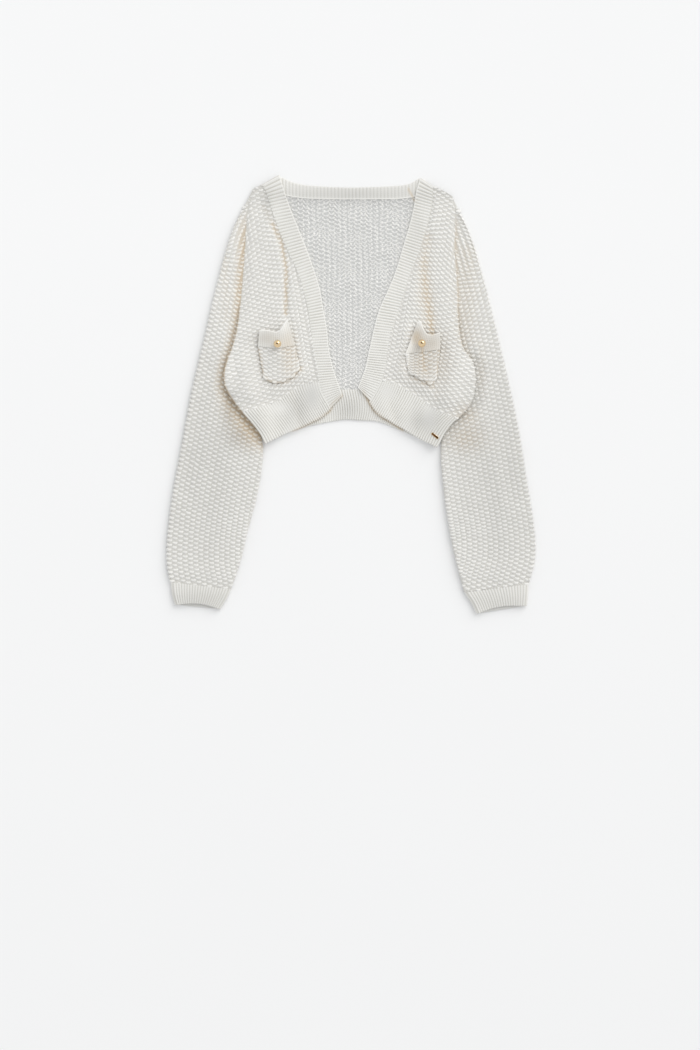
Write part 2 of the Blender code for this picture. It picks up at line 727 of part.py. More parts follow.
def make_bar():
    """The bar lies along the hem's edge, on the crests of the ribs."""
    turn = np.radians(BAR_ANGLE)
    along = np.array((np.cos(turn), np.sin(turn)))
    across = np.array((-np.sin(turn), np.cos(turn)))
    corners = np.array(((-1, -1), (1, -1), (1, 1), (-1, 1)))
    rows = []
    for inset, level in ((0, 0), (0, BAR_THICKNESS - BAR_BEVEL), (BAR_BEVEL, BAR_THICKNESS)):
        reach = corners[:, :1] * (BAR_LENGTH / 2 - inset) * along
        reach = reach + corners[:, 1:] * (BAR_WIDTH / 2 - inset) * across
        x, y = (np.array(BAR_CENTRE) + reach).T
        seat = FRONT_BASE + RIGHT.lift(x, y) + RIB_WALL + RIB_HEIGHT + BAR_GAP
        rows.append((x, y, seat + level))
    solid = Solid()
    rings = solid.grid(*np.array(rows).transpose(1, 0, 2), around=True)
    solid.faces += [rings[0][:-1].tolist(), rings[-1][:-1].tolist()]
    solid.build("hem_bar", GOLD, metallic=1.0, roughness=0.3)


def main():
    for old in list(bpy.data.objects):
        bpy.data.objects.remove(old)
    make_back()
    for half in HALVES:
        make_front(half)
        make_sleeve(half)
        make_cuff(half)
        make_pocket(half)
    make_bar()


main()
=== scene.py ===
"""The looks of a cropped open cardigan in thick cream knit, laid flat on its back.

The file is laid out as a Blender add-on and run as a script. One operator makes each group
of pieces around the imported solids, on the same outlines and heights: a thin shell of cloth,
and the stitches that lie on it.

Frame: X across the body, Y from hem to neck, Z up. "left" and "right" are as seen from
above with the neck away from the viewer. Shapes are worked out in millimetres and become
metres when a mesh is made. "out" is a distance from the centre line, on either side.
"""

import bmesh
import bpy
import numpy as np
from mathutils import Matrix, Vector
from mathutils.bvhtree import BVHTree


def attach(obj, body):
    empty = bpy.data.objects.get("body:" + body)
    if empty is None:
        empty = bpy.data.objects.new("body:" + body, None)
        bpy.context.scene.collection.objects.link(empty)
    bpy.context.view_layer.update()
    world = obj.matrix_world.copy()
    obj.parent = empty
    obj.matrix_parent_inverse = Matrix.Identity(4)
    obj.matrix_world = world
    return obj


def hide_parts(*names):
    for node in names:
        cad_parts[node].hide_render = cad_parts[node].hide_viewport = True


bl_info = {
    "name": "Laid cardigan",
    "version": (1, 0, 0),
    "blender": (4, 5, 0),
    "location": "3D View > Sidebar > Cardigan",
    "description": "Cloth, stitches, ribs, buttons and stage of a cream knitted cardigan",
    "category": "Object",
}

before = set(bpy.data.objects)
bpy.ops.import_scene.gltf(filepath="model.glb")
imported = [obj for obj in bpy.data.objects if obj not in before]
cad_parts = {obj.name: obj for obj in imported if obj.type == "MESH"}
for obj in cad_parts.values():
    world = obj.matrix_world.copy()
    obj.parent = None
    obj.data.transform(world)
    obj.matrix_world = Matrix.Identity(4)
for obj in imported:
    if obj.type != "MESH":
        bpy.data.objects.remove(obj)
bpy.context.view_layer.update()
MM = 0.001

# Walls, seams and edges
PANEL_WALL = 3.0
RIB_WALL = 2.5
RIB_HEIGHT = 0.9
SEAM_GAP = 0.35
SEAM_LAP = 0.3  # how far the trims reach over their seams
ARMHOLE_LAP = 0.2  # how far the sleeve reaches past its seam
LAYER_GAP = 0.6
EDGE_ROUND = 1.2
EDGE_RUN = 5.0
EDGE_FULLNESS = 0.97  # a rounded edge ends a little blunt
SEAM_RIDGE = 3.0  # width in which the plain cloth rises to its seams

# Heights of the layers
FRONT_BASE = RIB_WALL + RIB_HEIGHT + LAYER_GAP
SLEEVE_PRESSED = 2 * PANEL_WALL + 0.4
SLEEVE_FULL = 10.5
PRESS_MARGIN = 1.0
PRESS_RUN = 22.0
CUFF_HEIGHT = 8.6
CUFF_FADE = 0.07
CUFF_WALL = 2.0
CUFF_ROUND = 0.8  # how far it falls at its free edge
ARMHOLE_BOW = 0.3  # share of the sleeve in which its rings bow to the armhole

# The body climbs onto the sleeve below the armhole
LIFT = SLEEVE_PRESSED + LAYER_GAP
LIFT_MARGIN = 2.0
LIFT_RUN = 34.0
LIFT_START = 165.0
LIFT_LENGTH = 85.0
RIM_HEIGHT = 3.0
RIM_RUN = 24.0
RIM_LEVEL = 5.0
RIM_LENGTH = 55.0

# Soft fullness of the fronts
FRONT_PUFF = 2.6
SIDE_FADE = 0.2
BAND_FADE = 0.25
SHOULDER_FADE = 0.2
HEM_FADE = 0.06
HEM_ROLL = 1.8
HEM_ROLL_AT = 0.93
HEM_ROLL_WIDTH = 0.06
HEM_PUFF = 1.6

# Rough sizes of the pieces, which set how many grid lines and rows they get
BACK_WIDTH = 370.0
BACK_LENGTH = 320.0
INNER_LENGTH = 340.0  # of the rows on the inside of the back
FRONT_WIDTH = 150.0
FRONT_LENGTH = 345.0
FRONT_ROWS_LENGTH = 340.0
RIDGE_SPAN = (120.0, 330.0)  # of a front, for the rise at its seams
SLEEVE_LENGTH = 620.0
POCKET_WIDTH = 56.0
POCKET_LENGTH = 50.0
HEM_LENGTH = 52.0
BAND_LENGTH = 27.0
WELT_LENGTH = 27.0
NECK_LENGTH = 18.0
CLOTH_STEP = 4.0
TRIM_STEP = 3.2
RIM_LINES = np.array((0.25, 0.8, 1.8, 3.2))  # further grid lines at an edge of cloth
EDGE_LINES = np.array((0.1, 0.3, 0.6, 1.0, 1.6))  # and of ribs, by the edge's radius
BEAD_LINES = np.array((0.5, 1.0, 1.6, 2.4))  # and by the bead's width
LINE_CLEARANCE = 1.2
EDGE_CLEARANCE = 1.3
SLEEVE_COLUMNS = 36
SLEEVE_TURNS = 10
SHARP_ANGLE = np.radians(50)

# Ribs: number of them, height, and how much closer they lie at a trim's last end
BAND_RIBS = 80
NECK_RIBS = 43
HEM_RIBS = {"left": 32, "right": 35}
BACK_HEM_RIBS = 93
CUFF_RIBS = 20
WELT_RIBS = 16
BAND_RIB = 0.8
NECK_RIB = 0.45
WELT_RIB = 0.3
BACK_HEM_RIB = 0.75
CUFF_RIB = 0.75  # share of the ribs' height
UNDER_RIB = 0.5  # on the underside of the back's trims
BAND_CROWDING = 0.10
HEM_CROWDING = 0.17
RIB_SAMPLES = 6  # points across one rib
RIB_EDGE_RADIUS = 1.3
RIB_UNEVENNESS = 0.25
RIB_WAVES = (2.3, 7.1)  # ribs in a wave of that unevenness
V_STITCH_PITCH = 3.2  # along a rib
V_STITCH_SLANT = 0.45
BEAD_HEIGHT = 0.7  # of the smooth bead along one edge of some trims
BEAD_WIDTH = 1.3
BEAD_LIGHT = {"neck": 0.18, "welt": 0.30, "left": 0.05, "right": 0.20}

# Stitches: how far they stand out of their ground cloth, and how they are bent
OUTER_RISE = 1.5
INNER_RISE = 0.95
OUTER_BOW = 1.8  # 1 bends a stitch to a V, 2 to a crescent
INNER_BOW = 1.25
INNER_SINK = 0.3
INNER_TAPER = 0.6
INNER_CALM = 0.35  # share of the unevenness
FRONT_SIZE = (0.98, 0.93)  # of a front's stitches, beside those of the sleeves
CELL_SHARES = np.array((-0.4, -0.2, 0.0, 0.2, 0.4))  # where a cell is looked at
LEAST_TALL = 0.45  # of a stitch that lies on little cloth
RAY_START = 200.0
ROW_SAMPLES = {"back": 121, "front": 61, "pocket": 41, "fold": 400}
PLY_SLANT = 3.4
PLY_TURNS = 13.0
PURL_PITCH = (0.0046, 0.0040)  # of the bumps of the ground cloth, in metres
LIGHTEST_YARN = (0.97, 0.96, 0.94)
YARN_FINISH = {
    "Roughness": 0.92,
    "Specular IOR Level": 0.25,
    "Sheen Weight": 0.12,
    "Sheen Roughness": 0.6,
}
PLY_BUMP = 0.00018  # how deep the surface's bumps are, in metres
INNER_PLY_BUMP = 0.00015
GROUND_BUMP = 0.0003
RIB_BUMP = 0.00012
CLOUD_SCALE = 22.0  # of the lighter and darker patches
FINE_DETAIL = 3.0
VALLEY_SHADE_SPAN = (0.1, 0.8)  # shares of a rib's height over which the painted shade in its valley fades

# Rows and columns on the inside of the back
INNER_REACH = (-0.04, 1.02)  # shares of the panel's length
INNER_DROOP = 0.09  # slope of the rows near the neck, down to the right
DROOP_LEVEL = 300.0
DROOP_LENGTH = 150.0
INNER_TURN = 0.05  # slope of the columns
INNER_SWAY = 1.3
SWAY_RUNS = (13.0, 40.0)  # down the columns and across them
UNDER_BAND = 8.0  # how far the inner stitches reach under the bands

# Rows and columns on the fronts and the pockets
SEAM_KEEP = 0.5  # beside the band's seam, free of stitches
ROW_FALL = 0.8  # how soon a front's rows take the slant of its hem
COLUMN_DRIFT = 0.18  # of a front's columns towards the centre line, as they run down
COLUMN_TURN = {"left": 0.0010, "right": 0.0021}
COLUMN_TURN_START = 70.0
SIDE_STRETCH = 0.25  # how much wider the columns lie at the side's bulge
STRETCH_START = 150.0
STRETCH_LEVEL = 35.0
STRETCH_LENGTH = 50.0
POCKET_ROW = 6.2

# Rows and columns on the sleeves
SLEEVE_UNDER = 1.0  # how far the sleeve's stitches reach under the body's edge
SLEEVE_FOLD_TILT = 0.35  # rows lean by this share beside the top of a sleeve's fold
SLEEVE_TILT_LENGTH = 300.0
SLEEVE_FOLD_WINDOW = 80.0  # half the length of fold that a row takes its direction from
SLEEVE_MOST_COLUMNS = 36
ROWS_BEFORE = 16  # above the top of the fold
ROWS_BEYOND = 40  # in all, with those below its foot
FOLD_FIT = 1.35  # stitches on the outer fold of a sleeve are this much taller
FOLD_MARGIN = 40.0  # outside the fold, where its stitches are looked for from

# Warm light in the creases, and the light beside a band's free edge
CREASE_REACH = {"left": 42.0, "right": 10.0}  # of an armhole crease's warm light, at its foot
CREASE_REACH_TOP = {"left": 10.0, "right": 6.0}
CREASE_LENGTH = 150.0
CREASE_INWARD = 1.3
CREASE_GLOW = {"left": (1.0, 0.7), "right": (0.4, 0.4)}  # at its foot and at its top
CREASE_FOOT = {"left": -110.0, "right": 30.0}
CREASE_TOP = 300.0
CREASE_FADE = 60.0
GROUND_GLOW_POWER = 2.2  # how narrow the warm light in a valley is, on the plain cloth
STITCH_GLOW_POWER = 4.0
STITCH_WARMTH = 0.8
TRIM_GLOW = 0.3  # the ribs of the fronts take this share of the warm light
POCKET_GLOW = 0.5
V_LIGHT = {"left": 0.12, "right": 0.24}
V_LIGHT_WIDTH = 3.6

# Metal and stage
MARKS_SCALE = 900.0
MARKS_ROUGHNESS = 0.12
MOST_WORN = 0.5
FLOOR_NOISE = (3.0, 1.0)  # scale and detail of its grain
FLOOR_GRAIN = 0.01
FLOOR_FADE = (0.3, -1.0)  # metres, down the picture
FLOOR_FALL = 0.04  # how much darker the painted shade of the falling light makes it in that
FLOOR_DROP = 0.3  # below the cloth
FLOOR_REACH = 6.0  # metres
# Painted reflections: dark patches of the sky that only glossy rays see
GEAR_REFLECTION_COLOUR = (0.03, 0.025, 0.02, 1.0)
GEAR_REFLECTION_SPAN = (0.84, 0.93)  # cosines of the angle from its middle, between which it darkens
ARM_REFLECTION_COLOUR = (0.20, 0.11, 0.05, 1.0)
ARM_REFLECTION_SPAN = (0.95, 0.97)
SENSOR = 36.0
CAMERA_REACH = 50.0  # metres


def table(columns, *rows):
    """The rows' numbers as one array for each named column."""
    return dict(zip(columns.split(), np.array(rows, float).T))


def halves(columns, left, right):
    """A table for each half."""
    return {"left": table(columns, *left), "right": table(columns, *right)}


PLACES = "out y reach_out reach_y most"  # the middle of a soft round place, its reach and most

# Distances out from the centre line at each level y. "side" is the body's edge: the
# armhole fold down to the bulge of the underarm, then the side seam in to the hem's
# corner. "tuck" is the edge of the sleeve that lies hidden beneath the body.
SIDE = table(
    "y left_side right_side left_tuck right_tuck",
    (326.4, 156, 160.8, 156, 160.8), (294.4, 164, 168, 164, 168), (262.4, 167.2, 168.8, 167.2, 168.8),
    (230.4, 169, 168, 169, 168), (198.4, 171.4, 170.4, 171.4, 170.4),
    (166.4, 174.1, 172.2, 174.1, 172.2), (134.4, 177, 172.5, 177, 172.5),
    (102.4, 181.1, 174.4, 181.1, 174.4), (70.4, 189.6, 182.4, 184.8, 176),
    (51.2, 196.8, 195.2, 179.7, 175), (30.4, 201, 200, 173.6, 172), (9.6, 198.1, 199.2, 167.2, 168),
    (-9.6, 187.2, 195.5, 161.3, 162.4), (-28.8, 172.5, 183.5, 155.2, 156.8),
    (-48, 156, 163, 149.1, 151.5), (-64, 144, 151, 144, 147.7), (-81.6, 134.4, 141.5, 138.4, 144),
    (-121.6, 96, 104, 139.4, 145.4),
)

# The seam between a front and its band, and the band's free edge along the V.
OPENING = table(
    "y left_seam right_seam left_vee right_vee",
    (352, 148.6, 133.6, 113, 114.4), (326.4, 135, 131.5, 105.4, 106.4),
    (294.4, 124.3, 128, 94.4, 100.8), (262.4, 112.8, 120, 81.6, 92.8), (230.4, 99.2, 110.4, 68.8, 83.2),
    (198.4, 84, 97.6, 57.6, 73.6), (166.4, 73.6, 86.4, 48, 60.8), (134.4, 65.6, 76.8, 42.4, 46.4),
    (102.4, 61.3, 65.6, 36.8, 37.6), (70.4, 57.6, 59.2, 33.6, 30.4), (38.4, 51.2, 54.4, 26.1, 23.2),
    (6.4, 46.4, 41.6, 15.2, 11.2), (-25.6, 29.6, 23.2, 8, 3.2), (-57.6, 13.6, 9.6, 0, 0),
    (-89.6, 4, 4, 0, 0),
)

# A front's shoulder, hem seam and hem edge, from its side (w = 0) to its band (w = 1).
FRONT = table(
    "w left_top right_top left_seam right_seam left_end right_end",
    (0, 326.4, 315.7, -30.4, -41.6, -80, -85.6), (0.25, 329, 321, -21, -29, -66.4, -71.7),
    (0.5, 331.5, 325.4, -10, -10, -55.2, -55.2), (0.7, 333, 328, 5.5, 6.4, -44.8, -42.1),
    (0.85, 334, 330, 15.5, 17, -36.8, -31.2), (1, 334.9, 331.2, 20.8, 21.6, -23.4, -12.8),
)

# How far the free end of each of the band's ribs lies above its end at the seam, from the
# first rib (a = 0) to the last, and the levels of the first and last rib's end at the seam.
BAND_RISE = table(
    "a left right",
    (0, 15.2, 13.8), (0.05, 8, 9), (0.12, 6, 7), (0.25, 7.5, 8), (0.4, 8, 8), (0.55, 5, 6),
    (0.7, 1.5, 3), (0.82, 1, 3), (0.9, 5, 7), (0.96, 12, 13), (1, 20.2, 20.8),
)
BAND_SEAM = {"left": (334.9, -23.4), "right": (331.2, -11.2)}

# The back, from its left side (u = 0) to its right side (u = 1).
BACK_TOP = table(
    "u y",
    (0, 325.6), (0.05, 331), (0.1, 328), (0.15, 320), (0.24, 314), (0.37, 312), (0.5, 311.3),
    (0.62, 311.7), (0.75, 312.7), (0.84, 318), (0.89, 325), (0.94, 325), (1, 315),
)
BACK_HEM = table(
    "u seam end",
    (0, -30.4, -80), (0.12, -24, -66), (0.25, -13, -53.3), (0.39, 1, -44), (0.46, 5.8, -40.4),
    (0.54, 5.8, -41.6), (0.61, 3, -43), (0.75, -14, -57), (0.88, -31, -72), (1, -41.6, -85.6),
)
NECK_TOP = table(
    "u y",
    (0.12, 344.8), (0.155, 345.1), (0.19, 340), (0.24, 335.2), (0.3, 332.8), (0.4, 330.4), (0.5, 329.6),
    (0.6, 330.4), (0.7, 332), (0.76, 333.6), (0.8, 337), (0.84, 344), (0.87, 341),
)

# A sleeve's rings from armhole to cuff: the ends of each ring's line, out and y.
SLEEVE = halves(
    "outer outer_y inner inner_y",
    left=(
        (156, 327.2, 186.4, 78.4), (188.8, 259.2, 182.4, 60.8), (212.8, 176, 176, 38.4),
        (234.4, 86.4, 166.4, 6.4), (254.4, 3.2, 153.6, -33.6), (270.4, -83.2, 137.6, -84.8),
        (284, -156.8, 145.6, -153.6), (292.8, -227.2, 161.6, -217.6), (293.6, -270.4, 174.4, -270.4),
        (288.8, -300.8, 188.8, -312),
    ),
    right=(
        (163.2, 315.2, 175.2, 94.4), (192, 252.8, 176, 70.4), (212.8, 185.6, 174.4, 41.6),
        (233.6, 105.6, 168, 9.6), (252.8, 25.6, 156.8, -28.8), (270.4, -57.6, 144, -81.6),
        (283.2, -137.6, 147.2, -144), (294.4, -208, 156.8, -212.8), (296.8, -259.2, 166.4, -262.4),
        (287, -304, 180.8, -317),
    ),
)
CUFF = halves(
    "outer outer_y inner inner_y",
    left=(
        (286.9, -301.4, 190, -312.4), (285, -319.5, 196, -326), (280.5, -336.3, 206.4, -343.5),
    ),
    right=(
        (285.5, -304.6, 182.5, -317.6), (284.5, -322, 193, -333.5), (283, -338.1, 201.4, -350.9),
    ),
)
CUFF_MOUTH_ARCH = 5.0  # the cuff's upper edge bows back and shows the wall beneath

# Soft valleys in the fronts and sleeves: a line from (x0, y0) to (x1, y1), out and y.
FOLDS = halves(
    "x0 y0 x1 y1 width depth glow",
    left=(
        (138, 300, 123, 270, 7, 2, 0.1), (124, 272, 109, 241, 6, 2.4, 0.5),
        (109, 241, 102, 200, 5.5, 2.6, 0.55), (102, 200, 102.5, 128, 5, 2.6, 0.6),
        (92, -2, 77, -52, 7, 1.6, 0.15), (232, 40, 262, -150, 16, 1.6, 0),
        (215, -120, 236, -262, 18, 1.4, 0), (200, 215, 196, 120, 12, 1.5, 0.12),
        (146, 70, 138, 30, 5, 0.4, 0.3), (136, 25, 118, 16, 5, 0.4, 0.35),
        (110, 16, 92, 25, 5, 0.4, 0.4), (92, 25, 78, 41, 5, 0.4, 0.5), (86, 55, 95, 92, 12, 0.6, 0.3),
        (92, -60, 49, -38.5, 3, 0, 0.8), (49, -38.5, 33, -27, 3, 0, 0.9),
        (33, -27, 27, -14, 3.5, 0, 0.8), (27, -14, 14, -3, 3.5, 0, 0.8),
    ),
    right=(
        (124, 250, 119, 215, 12, 2.4, 0.25), (119, 215, 119, 185, 13, 2.6, 0.4),
        (119, 185, 124, 147, 13, 2.6, 0.55), (124, 147, 128, 120, 12, 2.6, 0.6),
        (128, 120, 131, 97, 8, 1.4, 0.7), (62, -2, 74, -46, 7, 1.4, 0.1),
        (150, 70, 138, -6, 9, 1.2, 0.1), (228, 30, 258, -160, 16, 1.6, 0),
        (218, -130, 226, -262, 18, 1.4, 0), (186, 225, 184, 90, 26, 1, 0.2),
        (115, 74, 120, 36, 5, 0.8, 0.7), (132, 12, 114, 20, 6, 0.4, 0.5),
        (114, 20, 98, 27, 6, 0.4, 0.35), (104, 92, 100, 70, 10, 0.4, 0.2),
        (93, 328, 104, 308, 3, 0, 0.6), (84, -57, 54, -39, 3, 0, 0.8),
        (54, -39, 38, -25.5, 3.5, 0, 0.9), (38, -25.5, 29, -10, 3.5, 0, 0.9),
        (29, -10, 21, 4, 3.5, 0, 0.9),
    ),
)

# Patch pockets: the seam between welt and bag, the bag's foot, and the welt's free edge,
# from the pocket's left edge (a = 0) to its right edge (a = 1), as x and y.
POCKET = halves(
    "a seam_x seam_y foot_x foot_y edge_x edge_y curl",
    left=(
        (0, -147.2, 75.2, -138.4, 27.2, -144.8, 100.8, 0),
        (0.17, -137.5, 74.5, -131, 20.5, -137, 101.6, 0.2),
        (0.35, -127.5, 73, -120, 16.8, -128, 100.6, 0.6),
        (0.55, -116, 72, -108.5, 18, -116.5, 98.4, 1.6), (0.7, -107, 73.5, -99.5, 22.4, -110.5, 103, 3),
        (0.85, -97.5, 75.5, -89.5, 28, -105, 111.5, 4.4), (1, -88, 77, -79.5, 38.5, -99.6, 119, 5.4),
    ),
    right=(
        (0, 88, 63, 93, 33.6, 107.5, 113.5, 5), (0.15, 95.5, 64.5, 101, 29.5, 112, 115.5, 4.6),
        (0.3, 104, 65.5, 109.5, 24.5, 116, 106, 3.2), (0.5, 116.5, 66.5, 120, 19.5, 122.5, 95.5, 1.6),
        (0.7, 127, 68, 128, 14.6, 131, 94.2, 0.6), (0.85, 135.5, 69.5, 133, 16.5, 137.5, 95.8, 0.2),
        (1, 144, 70.4, 138.5, 24, 144, 98.4, 0),
    ),
)
POCKET_GAP = 0.6  # above the curved front
POCKET_GAPE = 2.4  # how far the mouth stands open
GAPE_POWER = 1.5  # how soon the gape closes below the mouth
CURL_POWER = 1.3  # how soon the welt's curl flattens below its free edge
POCKET_RIM = 3.0  # width of a pocket's thin sewn rim
POCKET_RIM_WALL = 0.35  # share of its wall at the very edge
UNSEWN_CURL = 6.0  # a rim under a welt that curls this far up isn't sewn down
BUTTON = {"left": (-115.4, 78.6), "right": (114.4, 79.4)}
BUTTON_RADIUS = 6.2
BUTTON_SIDES = 16
BUTTON_RINGS = 8
SHANK_RADIUS = 2.2
SHANK_HEIGHT = 1.2
COLLAR = np.array(((0.8, 1.0, 1.0), (0.0, 0.2, 0.9)))  # of the shank, by its radius and height
SEAT_SAMPLES = (81, 41)  # places on a welt where the button's seat is looked for
SEAT_MARGIN = 1.0

# A plain metal bar on the right hem, near its corner
BAR_CENTRE = (135.4, -67.5)
BAR_LENGTH = 13.8
BAR_WIDTH = 3.8
BAR_THICKNESS = 1.1
BAR_CORNER = 0.5
BAR_CORNER_POINTS = 5
# Inset and level up its side, the level as a share of its thickness
BAR_PROFILE = ((0.12, 0.0), (0.0, 0.12), (0.0, 0.7), (0.1, 0.9), (0.3, 1.0), (0.8, 1.0))
BAR_ANGLE = -40.0
BAR_GAP = 0.6  # above the curved hem

# Where the rows lean from their own line: the middle of the place, its reach, and the
# degrees by which they rise towards the centre line.
LEANS = halves(
    PLACES,
    left=(
        (180, 258, 24, 48, 92), (165, 190, 25, 60, 12), (190, 130, 12, 60, -18),
        (250, -114, 14, 20, -25), (120, 265, 12, 22, -30), (92, 202, 8, 30, 40), (72, 92, 13, 50, 8),
    ),
    right=(
        (181, 232, 22, 52, 94), (186, 130, 12, 40, -15), (214, 150, 14, 45, -26), (146, 200, 20, 60, 8),
        (138, 264, 20, 26, -30),
    ),
)

# Where every other column of stitches leans the other way: the same, and how far.
ZIGZAGS = halves(
    PLACES,
    left=(
        (72, 100, 18, 90, 30),
    ),
    right=(
        (82, 110, 20, 90, 28),
    ),
)

# Where the light is softly warm: the middle of the place, its reach and its share.
GLOWS = halves(
    PLACES,
    left=(
        (98, 78, 10, 22, 0.42), (96, 45, 12, 20, 0.28), (132, 88, 18, 11, 0.2),
    ),
    right=(
        (118, 195, 10, 34, 0.22), (121, 152, 12, 26, 0.3), (127, 114, 11, 18, 0.28),
        (106, 90, 9, 12, 0.72), (132, 80, 14, 15, 0.25), (114, 48, 24, 26, 0.4),
        (150, 55, 16, 40, 0.16), (182, 165, 9, 50, 0.14), (209, 35, 9, 40, 0.16),
        (186, -34, 18, 16, 0.3), (184, -70, 30, 22, 0.3),
    ),
)

# Where a soft shade is painted into the cloth's colour: the middle of the place, its reach and its
# share. A share below 0 paints light instead.
SHADES = halves(
    PLACES,
    left=(
        (235, -140, 80, 190, 0.11), (240, -330, 60, 16, 0.13), (0, 318, 130, 14, 0.19),
        (92, 275, 14, 34, 0.05), (61, -4, 15, 22, 0.2), (84, -24, 18, 28, 0.14), (0, -25, 30, 22, 0.16),
        (132, 87, 20, 12, 0.17), (133, 302, 8, 24, 0.12), (115, 50, 24, 28, 0.04),
        (104.5, 107, 7, 10, -0.12), (191, -22, 11, 24, 0.26), (172, -64, 26, 24, 0.23),
        (192, 50, 10, 44, -0.08),
    ),
    right=(
        (235, -150, 80, 180, 0.115), (240, -335, 60, 16, 0.1), (0, 318, 130, 14, 0.19),
        (104, 265, 14, 40, 0.07), (118, -44, 24, 20, 0.21), (60, 2, 14, 14, 0.06),
        (0, -25, 30, 22, 0.16), (130, 83, 14, 15, 0.2), (107, 90, 8, 12, 0.24), (114, 50, 26, 30, 0.15),
        (90, 48, 3.5, 20, -0.4), (96, 88, 5, 22, -0.3), (188, 40, 14, 34, -0.07),
        (184, -68, 30, 26, 0.125),
    ),
)

# Where the ribs of a trim are pulled flat: the middle of the place, its reach and its share.
PULLED_FLAT = halves(
    PLACES,
    left=(
        (61, -3, 14, 24, 0.98), (112, -22, 14, 9, 0.8), (96, -62, 12, 8, 0.6),
    ),
    right=(
        (60, 2, 13, 13, 0.8), (126, -38, 12, 20, 0.9),
    ),
)


def ramp(s):
    """0 to 1 with level ends as s goes from 0 to 1."""
    s = np.clip(s, 0.0, 1.0)
    return s * s * (3 - 2 * s)


def lerp(a, b, f):
    return a + (b - a) * f


def curve(knots, values):
    """A smooth function through the values at the knots, in any order of the knots."""
    order = np.argsort(knots)
    knots, values = knots[order], values[order]
    slopes = np.gradient(values, knots)

    def at(s):
        s = np.clip(s, knots[0], knots[-1])
        i = np.clip(np.searchsorted(knots, s) - 1, 0, len(knots) - 2)
        step = knots[i + 1] - knots[i]
        f = (s - knots[i]) / step
        start = values[i] * (1 + 2 * f) + slopes[i] * step * f
        end = values[i + 1] * (3 - 2 * f) + slopes[i + 1] * step * (f - 1)
        return start * (1 - f) ** 2 + end * f * f

    return at


def curves(rows, knots):
    """A smooth function for each column of a table."""
    return {key: curve(knots, rows[key]) for key in rows}


def mm(metres):
    return metres * 1000


def crowded(a, amount):
    """The share a of the way along, with its steps closer together near the end."""
    return a + amount * a * (1 - a)


def bell(distance, width):
    return np.exp(-((distance / width) ** 2))


def rounded_edge(distance, radius):
    """Share of a wall that is left at a distance from its rounded free edge."""
    inward = EDGE_FULLNESS * np.clip(1 - distance / radius, 0, 1)
    return np.sqrt(1 - inward**2)


def left_by(places, out, y):
    """The share that is left at a point by a table's places, each taking its most."""
    left = 1.0 + 0.0 * out
    for out_0, y_0, reach_out, reach_y, most in zip(*places.values()):
        left = left * (1 - most * bell(out - out_0, reach_out) * bell(y - y_0, reach_y))
    return left


def added_by(places, out, y):
    """What a table's places add up to at a point."""
    total = 0.0 * out
    for out_0, y_0, reach_out, reach_y, most in zip(*places.values()):
        total = total + most * bell(out - out_0, reach_out) * bell(y - y_0, reach_y)
    return total


